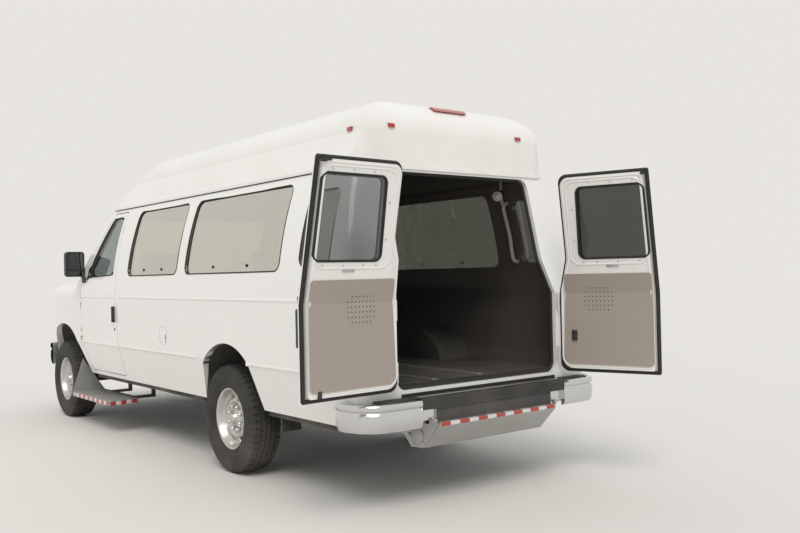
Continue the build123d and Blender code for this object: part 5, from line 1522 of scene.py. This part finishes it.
def bumper_skin(name, plan, profile, side):
    """A skin swept along a bumper: plan points in x and y, profile in (proud, height)."""
    mesh = bmesh.new()
    columns = []
    for index, (x, y) in enumerate(plan):
        ahead, back = plan[min(index + 1, len(plan) - 1)], plan[max(index - 1, 0)]
        along = Vector((ahead[0] - back[0], ahead[1] - back[1])).normalized()
        out = Vector((along.y, -along.x))
        if out.dot(Vector((x - PLAN_MIDDLE_X, y))) < 0:
            out.negate()
        column = [(x + out.x * proud, side * (y + out.y * proud), z) for proud, z in profile]
        columns.append([mesh.verts.new(place) for place in column])
    for near, far in zip(columns, columns[1:]):
        for low, high, far_high, far_low in zip(near, near[1:], far[1:], far):
            mesh.faces.new([low, high, far_high, far_low])
    bmesh.ops.recalc_face_normals(mesh, faces=mesh.faces)
    bmesh.ops.solidify(mesh, geom=mesh.faces[:], thickness=SKIN_WALL)
    piece(name, mesh, chrome, "body", sharp=50.0)


# %% Bumper skins
REAR_LOW_Z, REAR_TALL = 0.4835, 0.1575
FRONT_LOW_Z, FRONT_TALL = 0.500, 0.220
REAR_PROFILE = [
    (-0.016, 0.6415), (-0.006, 0.6445), (0.004, 0.6430), (0.011, 0.6380), (0.0150, 0.6290),
    (0.0155, 0.6180), (0.0125, 0.6090), (0.0060, 0.6035), (0.0020, 0.6000), (0.0020, 0.5950),
    (0.0060, 0.5905), (0.0110, 0.5830), (0.0135, 0.5700), (0.0140, 0.5500), (0.0125, 0.5250),
    (0.0085, 0.5050), (0.0030, 0.4920), (-0.0060, 0.4840), (-0.0150, 0.4830),
]
FRONT_PROFILE = [
    (proud, FRONT_LOW_Z + (z - REAR_LOW_Z) * FRONT_TALL / REAR_TALL) for proud, z in REAR_PROFILE
]
rear_plan = arc_points((-1.700, 0.606), (-1.6985, 0.740), (-1.690, 0.880), 14)
rear_plan += arc_points((-1.690, 0.880), (-1.592, 0.984), (-1.430, 1.000), 26)[1:]
front_plan = arc_points((4.331, 0.0), (4.320, 0.380), (4.260, 0.720), 30)
front_plan += arc_points((4.260, 0.720), (4.110, 0.865), (3.960, 0.985), 22)[1:]
for side, label in SIDES:
    bumper_skin(f"rear_bumper_skin_{label}", rear_plan, REAR_PROFILE, side)
    bumper_skin(f"front_bumper_skin_{label}", front_plan, FRONT_PROFILE, side)
    end = bmesh.new()
    side_bar(end, side, (-1.7125, 0.6045, 0.500), (-1.683, 0.6075, 0.636), 0.0012, 1)
    piece(f"bumper_end_{label}", end, chrome, "body")
print("bumper skins:", len(rear_plan), "and", len(front_plan), "columns")

# %% Foot pads, ridges and strip
FOOT_PAD_RIBS = 5
pads = bmesh.new()
for side, _ in SIDES:
    side_bar(pads, side, (-1.672, 0.600, 0.6385), (-1.590, 0.872, 0.6500), 0.004)
    for row in range(FOOT_PAD_RIBS):
        x = -1.662 + row * 0.015
        side_bar(pads, side, (x - 0.003, 0.606, 0.649), (x + 0.003, 0.866, 0.6525), 0.0012, 1)
piece("bumper_foot_pads", pads, black_plastic, "body")
ridges = bmesh.new()
for x in (-1.606, -1.620, -1.634, -1.676, -1.690):
    bar(ridges, (x - 0.004, -0.596, 0.6510), (x + 0.004, 0.596, 0.6550), 0.0015, 1)
piece("bumper_top_ridges", ridges, black_plastic, "body")
strip = bmesh.new()
bar(strip, (-1.664, -0.598, 0.6510), (-1.646, 0.598, 0.6565))
piece("bumper_top_strip", strip, chrome, "body")
sill_band = bmesh.new()
bar(sill_band, (-1.5865, -0.655, 0.6485), (-1.5790, 0.655, 0.6690))
piece("sill_band", sill_band, seal_rubber, "body")
pad_ribs = bmesh.new()
for z in (0.598, 0.616, 0.634):
    bar(pad_ribs, (-1.7065, -0.600, z - 0.004), (-1.7030, 0.600, z + 0.004), 0.0012, 1)
piece("pad_ribs", pad_ribs, black_plastic, "body")
print("bumper top done")

# %% Rear step: cover, arms and bolts
JOINTS = [(-1.705, 0.515), (-1.640, 0.560), (-1.600, 0.500)]
ARM_Y = 0.512
UNDER_STEP_OUT = Vector((-0.743, 0, -0.669))
cover = bmesh.new()
bar(cover, (-1.6955, -0.488, 0.5045), (-1.6925, 0.488, 0.5795), 0.001, 1)
for y in (-0.36, -0.12, 0.12, 0.36):
    bar(cover, (-1.6990, y - 0.022, 0.520), (-1.6950, y + 0.022, 0.536))
piece("step_plate_cover", cover, step_dark, "body")
arms, bolts = bmesh.new(), bmesh.new()
for side, _ in SIDES:
    for (x0, z0), (x1, z1) in zip(JOINTS, JOINTS[1:]):
        start, end = (x0, side * ARM_Y, z0), (x1, side * ARM_Y, z1)
        round_bar(arms, start, end, 0.009, segments=16, bevel=0.002)
    for x, z in JOINTS:
        start, end = (x, side * 0.502, z), (x, side * 0.524, z)
        round_bar(arms, start, end, 0.015, segments=24, bevel=0.003)
        round_bar(bolts, (x, side * 0.523, z), (x, side * 0.529, z), 0.008, segments=6)
    start, end = (-1.530, side * 0.4995, 0.405), (-1.530, side * 0.5085, 0.405)
    round_bar(arms, start, end, 0.055, segments=40, bevel=0.003)
    for x, z in ((-1.585, 0.365), (-1.490, 0.350), (-1.560, 0.452), (-1.440, 0.405)):
        round_bar(bolts, (x, side * 0.499, z), (x, side * 0.507, z), 0.009, segments=6)
piece("rear_step_arms", arms, step_aluminium, "body")
for y in (-0.40, -0.13, 0.13, 0.40):
    spot = Vector((-1.652, y, 0.414))
    stud(bolts, spot, UNDER_STEP_OUT, 0.0036, 0.012, 0.008, segments=6)
piece("rear_step_bolts", bolts, bright_bolt, "body")
slots = bmesh.new()
for side, _ in SIDES:
    made = side_bar(slots, side, (-1.478, 0.5000, 0.372), (-1.466, 0.5022, 0.420), 0.001, 1)
    turn = turn_about((-1.472, 0, 0.396), radians(35.0), "Y")
    bmesh.ops.transform(slots, matrix=turn, verts=[vert for vert in made if vert.is_valid])
piece("rear_step_slots", slots, seal_rubber, "body")
print("rear step done")

# %% [markdown]
# Tread plate has short raised bars that lie crosswise by turns. Each one is a plain box of a few
# faces, because there are hundreds.

# %% Tread
TREAD_COLUMNS = 36


def tread_bar(mesh, spot, row, column, size):
    """One raised bar of tread plate."""
    turned = radians(45.0 if (row + column) % 2 else -45.0)
    shape = Matrix.Rotation(turned, 4, "Z") @ Matrix.Diagonal((*size, 1.0))
    bmesh.ops.create_cube(mesh, size=1.0, matrix=Matrix.Translation(spot) @ shape)


tread = bmesh.new()
for row in range(3):
    for column in range(TREAD_COLUMNS):
        y = -0.468 + column * 0.0267 + (0.0133 if row % 2 else 0)
        spot = (-1.701 + 0.0112 * row, y, 0.5030)
        tread_bar(tread, spot, row, column, (0.011, 0.0035, 0.0022))
piece("rear_step_tread", tread, step_aluminium, "body")

for side, label in SIDES:
    tread = bmesh.new()
    for row in range(10):
        for column in range(TREAD_COLUMNS):
            x = 2.090 + column * 0.0255 + (0.0127 if row % 2 else 0)
            if x <= 3.010:
                spot = (x, side * (0.800 + row * 0.0285), 0.3003)
                tread_bar(tread, spot, row, column, (0.015, 0.0042, 0.0024))
    piece(f"side_step_tread_{label}", tread, step_aluminium, "body")
print("tread done")

# %% Side step bolts and hangers
HANGERS_X = (2.395, 2.980)
for side, label in SIDES:
    bolts = bmesh.new()
    for x in HANGERS_X:
        for y in (0.800, 0.950):
            round_bar(bolts, (x, side * y, 0.298), (x, side * y, 0.3035), 0.011, segments=6)
    for x in (2.18, 2.52, 2.86):
        start, end = (x, side * 1.062, 0.281), (x, side * 1.070, 0.281)
        round_bar(bolts, start, end, 0.006, segments=12, bevel=0.001)
    piece(f"side_step_bolts_{label}", bolts, bright_bolt, "body")
    sleeves = bmesh.new()
    for x in HANGERS_X:
        low = (x - 0.0266, 0.5095, 0.2594)
        side_bar(sleeves, side, low, (x + 0.0266, 0.758, 0.2826), 0.0015, 1)
        side_bar(sleeves, side, low, (x + 0.0266, 0.5316, 0.5516), 0.0015, 1)
    piece(f"side_step_sleeves_{label}", sleeves, frame_black, "body")
print("side steps done")

# %% [markdown]
# Rubber flaps hang behind the rear wheels, each bent back a little by its own weight.

# %% Flaps
FLAP_ROWS = [(-0.640, 0.520), (-0.648, 0.470), (-0.655, 0.415), (-0.664, 0.368)]
for side, label in SIDES:
    flap = bmesh.new()
    low_y, high_y = sorted((side * 0.775, side * 0.915))
    for (x0, z0), (x1, z1) in zip(FLAP_ROWS, FLAP_ROWS[1:]):
        corners = [(x0, low_y, z0), (x0, high_y, z0), (x1, high_y, z1), (x1, low_y, z1)]
        plate(flap, corners, (-0.006, 0, 0))
    bar(flap, (-0.655, low_y, 0.505), (-0.628, high_y, 0.530), 0.003)
    piece(f"rear_flap_{label}", flap, seal_rubber, "body")
print("flaps done")

# %% [markdown]
# ## Front end
# The photograph shows only the flank of the nose. The rest follows what this kind of van carries:
# a slotted black grille in a bright frame, square lamps in bright bezels with a turn lamp beside
# each, wipers parked on the scuttle, and a rubber round the windscreen.

# %% Where the front is
FRONT_TREE = tree_of(
    "front_body", "hood", "windshield", "grille", "head_lamps", "left_side_panel",
    "right_side_panel",
)
AHEAD_X, ABOVE_Z = 6.0, 2.0
NOSE_X, SCUTTLE_Z = 4.2, 1.37


def front_x(y, z):
    """How far forward the front's surface is at a place."""
    hit = FRONT_TREE.ray_cast(Vector((AHEAD_X, y, z)), Vector((-1, 0, 0)))[0]
    return hit.x if hit else NOSE_X


def scuttle_z(x, y):
    """How high the surface before the windscreen is at a place."""
    hit = FRONT_TREE.ray_cast(Vector((x, y, ABOVE_Z)), Vector((0, 0, -1)))[0]
    return hit.z if hit else SCUTTLE_Z


def on_front(points, proud):
    """Places on the front's surface from points of (y, z)."""
    return [Vector((front_x(y, z) + proud, y, z)) for y, z in points]


print("nose at the middle:", round(front_x(0.0, 0.7), 3))

# %% Windscreen rubber and wipers
SCREEN = [(-0.884, 1.406, 0.07), (0.884, 1.406, 0.07), (0.786, 1.949, 0.07), (-0.786, 1.949, 0.07)]
SCREEN_LOW_Z = 1.415
WIPERS = [((0.34, 1.392), (-0.20, 1.452)), ((-0.36, 1.392), (-0.80, 1.50))]
BLADE_HALF = 0.24
rubber = bmesh.new()
places = [Vector((front_x(y * 1.004, z) + 0.001, y, z)) for y, z in fine_path(SCREEN)]
bead(rubber, places, 0.0085)
piece("windscreen_rubber", rubber, seal_rubber, "body")

wipers = bmesh.new()
for (root_y, root_z), (tip_y, tip_z) in WIPERS:
    arm = []
    for share in (0, 0.2, 0.4, 0.6, 0.8, 1.0):
        y, z = root_y + (tip_y - root_y) * share, root_z + (tip_z - root_z) * share
        proud = 0.022 if share else 0.012
        arm.append(Vector((front_x(y, max(z, SCREEN_LOW_Z)) + proud, y, z)))
    bead(wipers, arm, 0.0055, closed=False, rings=3)
    low, high = arm[0] - Vector((0.02, 0, 0.012)), arm[0] + Vector((0.006, 0, 0.016))
    round_bar(wipers, low, high, 0.016, bevel=0.003)
    spread = (arm[5] - arm[1]).normalized() * BLADE_HALF
    blade = [arm[3] + spread * share for share in (-1, -0.5, 0, 0.5, 1)]
    blade = [Vector((front_x(p.y, max(p.z, SCREEN_LOW_Z)) + 0.010, p.y, p.z)) for p in blade]
    bead(wipers, blade, 0.0050, closed=False)
piece("wipers", wipers, black_plastic, "body")
print("windscreen done")

# %% Grille frame and uprights
grille_frame = bmesh.new()
ring = fine_path(box_corners(-0.488, 0.488, 0.793, 1.057, 0.02))
bead(grille_frame, [Vector((front_x(y * 0.97, z) + 0.002, y, z)) for y, z in ring], 0.008, rings=3)
piece("grille_frame", grille_frame, chrome, "body")
uprights = bmesh.new()
for y in (-0.30, -0.10, 0.10, 0.30):
    x = front_x(y, 0.92)
    bar(uprights, (x - 0.03, y - 0.006, 0.800), (x + 0.004, y + 0.006, 1.050), 0.003)
piece("grille_uprights", uprights, black_plastic, "body")
print("grille done")

# %% Head lamps and turn lamps
FLUTES, FLUTE_STEP = 9, 0.0235
FLUTE_HEIGHTS = (0.875, 0.915, 0.955, 0.995, 1.018)
TURN_Y0, TURN_Y1, TURN_Z0, TURN_Z1 = 0.828, 0.908, 0.868, 1.022
GRID = 5
for side, label in SIDES:
    bezel = bmesh.new()
    ring = [(side * y, z) for y, z in fine_path(box_corners(0.526, 0.794, 0.856, 1.034, 0.018))]
    bead(bezel, on_front(ring, 0.001), 0.0075, rings=3)
    piece(f"head_lamp_bezel_{label}", bezel, chrome, "body")
    flutes = bmesh.new()
    for row in range(FLUTES):
        y = side * (0.545 + row * FLUTE_STEP)
        line = on_front([(y, z) for z in FLUTE_HEIGHTS], 0.0005)
        bead(flutes, line, 0.0022, closed=False, rings=1)
    piece(f"head_lamp_flutes_{label}", flutes, clear_lens, "body")

    lamp = bmesh.new()
    rows = []
    for j in range(GRID + 1):
        rows.append([])
        for i in range(GRID + 1):
            y = side * (TURN_Y0 + (TURN_Y1 - TURN_Y0) * i / GRID)
            z = TURN_Z0 + (TURN_Z1 - TURN_Z0) * j / GRID
            proud = -0.002 if i in (0, GRID) or j in (0, GRID) else 0.008
            rows[-1].append(lamp.verts.new(on_front([(y, z)], proud)[0]))
    for low, high in zip(rows, rows[1:]):
        for corners in zip(low, low[1:], high[1:], high):
            lamp.faces.new(corners)
    bmesh.ops.solidify(lamp, geom=lamp.faces[:], thickness=-0.004)
    piece(f"turn_lamp_{label}", lamp, amber_lens, "body")
print("head lamps and turn lamps done")

# %% Scuttle slots
SLOTS, SLOT_STEP, SLOT_X = 16, 0.08, 3.17
vents = bmesh.new()
for row in range(SLOTS):
    y = -0.60 + row * SLOT_STEP
    if abs(y) > 0.2:
        z = scuttle_z(SLOT_X, y)
        bar(vents, (3.160, y - 0.028, z - 0.003), (3.178, y + 0.028, z + 0.0012), 0.001, 1)
piece("scuttle_slots", vents, seal_rubber, "body")
print("scuttle done")

# %% [markdown]
# Each front door's pane has a black frame, broad along the sloping front pillar, and a black
# corner piece that carries the mirror.

# %% Door frames
mirror_silver = finish_of(
    "mirror_silver", (0.13, 0.135, 0.14), drift=0.05, rough=0.06, rough_drift=0.02, metal=1.0,
    grain=20.0, grain_height=0.00002, dust=0.1,
)
PILLAR_LOW, PILLAR_TOP = Vector((2.800, 1.392)), Vector((2.375, 1.935))
DOOR_PANE = [(2.105, 1.408, 0.05), (*PILLAR_LOW, 0.05), (*PILLAR_TOP, 0.05), (2.125, 1.938, 0.05)]
PANE_MIDDLE = Vector((2.33, 1.62))
MIRROR_CORNER = [(2.650, 1.403), (2.785, 1.400), (2.722, 1.482), (2.690, 1.515)]
BAND_STEPS = 16
slope = (PILLAR_TOP - PILLAR_LOW).normalized()
ahead_of_pillar = Vector((slope.y, -slope.x))
for side, label in SIDES:
    rubber = bmesh.new()
    path = [p + (PANE_MIDDLE - p).normalized() * 0.004 for p in fine_path(DOOR_PANE, 0.04)]
    bead(rubber, on_side(path, side, 0.0005), 0.0095)
    piece(f"door_frame_rubber_{label}", rubber, seal_rubber, f"front_door_{label}")

    band = bmesh.new()
    rows = []
    for inwards in (0.052, 0.002):
        line = [
            PILLAR_LOW.lerp(PILLAR_TOP, i / BAND_STEPS) - ahead_of_pillar * inwards
            for i in range(BAND_STEPS + 1)
        ]
        rows.append([band.verts.new(place) for place in on_side(line, side, 0.0012)])
    inner, outer = rows
    for corners in zip(inner, inner[1:], outer[1:], outer):
        band.faces.new(corners)
    bmesh.ops.solidify(band, geom=band.faces[:], thickness=0.002)
    corner = [band.verts.new(place) for place in on_side(MIRROR_CORNER, side, 0.0045)]
    band.faces.new(corner)
    bmesh.ops.solidify(band, geom=list(corner[0].link_faces), thickness=0.004)
    piece(f"door_frame_band_{label}", band, black_plastic, f"front_door_{label}")
print("door frames done")

# %% Mirrors
MIRROR_IN, MIRROR_OUT = 1.006, 1.151
MIRROR_HEIGHTS = [(1.476, 1.634), (1.422, 1.466)]
GLASS_INSET = 0.002
for side, label in SIDES:
    glass, rim = bmesh.new(), bmesh.new()
    for z0, z1 in MIRROR_HEIGHTS:
        side_bar(
            glass, side, (2.8565, MIRROR_IN + GLASS_INSET, z0 + GLASS_INSET),
            (2.8605, MIRROR_OUT - GLASS_INSET, z1 - GLASS_INSET), 0.001, 1,
        )
        ring = rounded_path(box_corners(MIRROR_IN, MIRROR_OUT, z0, z1, 0.012))
        bead(rim, [Vector((2.858, y * side, z)) for y, z in ring], 0.0042)
    piece(f"mirror_glass_{label}", glass, mirror_silver, f"front_door_{label}")
    piece(f"mirror_rim_{label}", rim, black_plastic, f"front_door_{label}")
print("mirrors done")

# %% [markdown]
# ## Lamps at the rear
# The tail lamps are three stacked lenses in one bezel: red, amber and clear. The marker lamps on
# the roof and the high brake lamp are solids already, so a ribbed lens finish is all they need.

# %% Tail lamps
LENSES = [
    # name, low z, top z, finish
    ("stop", 1.050, 1.154, red_lens),
    ("turn", 0.972, 1.046, amber_lens),
    ("reverse", 0.886, 0.968, clear_lens),
]
LENS_RIBS, LENS_RIB_STEP = 5, 0.0175
for side, label in SIDES:
    low_y, high_y = sorted((side * 0.806, side * 0.904))
    for word, z0, z1, finish in LENSES:
        lens = bmesh.new()
        bar(lens, (-1.5835, low_y, z0), (-1.5765, high_y, z1), 0.003)
        for row in range(LENS_RIBS):
            y = low_y + 0.014 + row * LENS_RIB_STEP
            low = (-1.5850, y - 0.003, z0 + 0.008)
            bar(lens, low, (-1.5825, y + 0.003, z1 - 0.008), 0.001, 1)
        piece(f"tail_lens_{word}_{label}", lens, finish, "body")
    bezel = bmesh.new()
    ring = rounded_path(box_corners(0.801, 0.909, 0.881, 1.159, 0.010))
    bead(bezel, [Vector((-1.5800, side * y, z)) for y, z in ring], 0.0055, rings=3)
    piece(f"tail_bezel_{label}", bezel, chrome, "body")
print("tail lamps done")

# %% [markdown]
# ## The floor under it
# A broad pale slab that reaches past the edge of the view and carries the shadow. It is stage, not
# part of the object, so it rides on nothing.

# %% Floor
FLOOR_HALF = 60.0
stage_grey = finish_of(
    "stage_grey", (0.70, 0.685, 0.65), drift=0.02, rough=0.85, rough_drift=0.05,
    grain=60.0, grain_height=0.0003, patches=0.5, dust=0.0,
)
floor_mesh = bmesh.new()
bmesh.ops.create_grid(floor_mesh, x_segments=1, y_segments=1, size=FLOOR_HALF)
floor_data = bpy.data.meshes.new("stage_floor")
floor_mesh.to_mesh(floor_data)
floor_mesh.free()
stage_floor = bpy.data.objects.new("stage_floor", floor_data)
bpy.context.scene.collection.objects.link(stage_floor)
floor_data.materials.append(stage_grey)
print("floor", 2 * FLOOR_HALF, "m across")
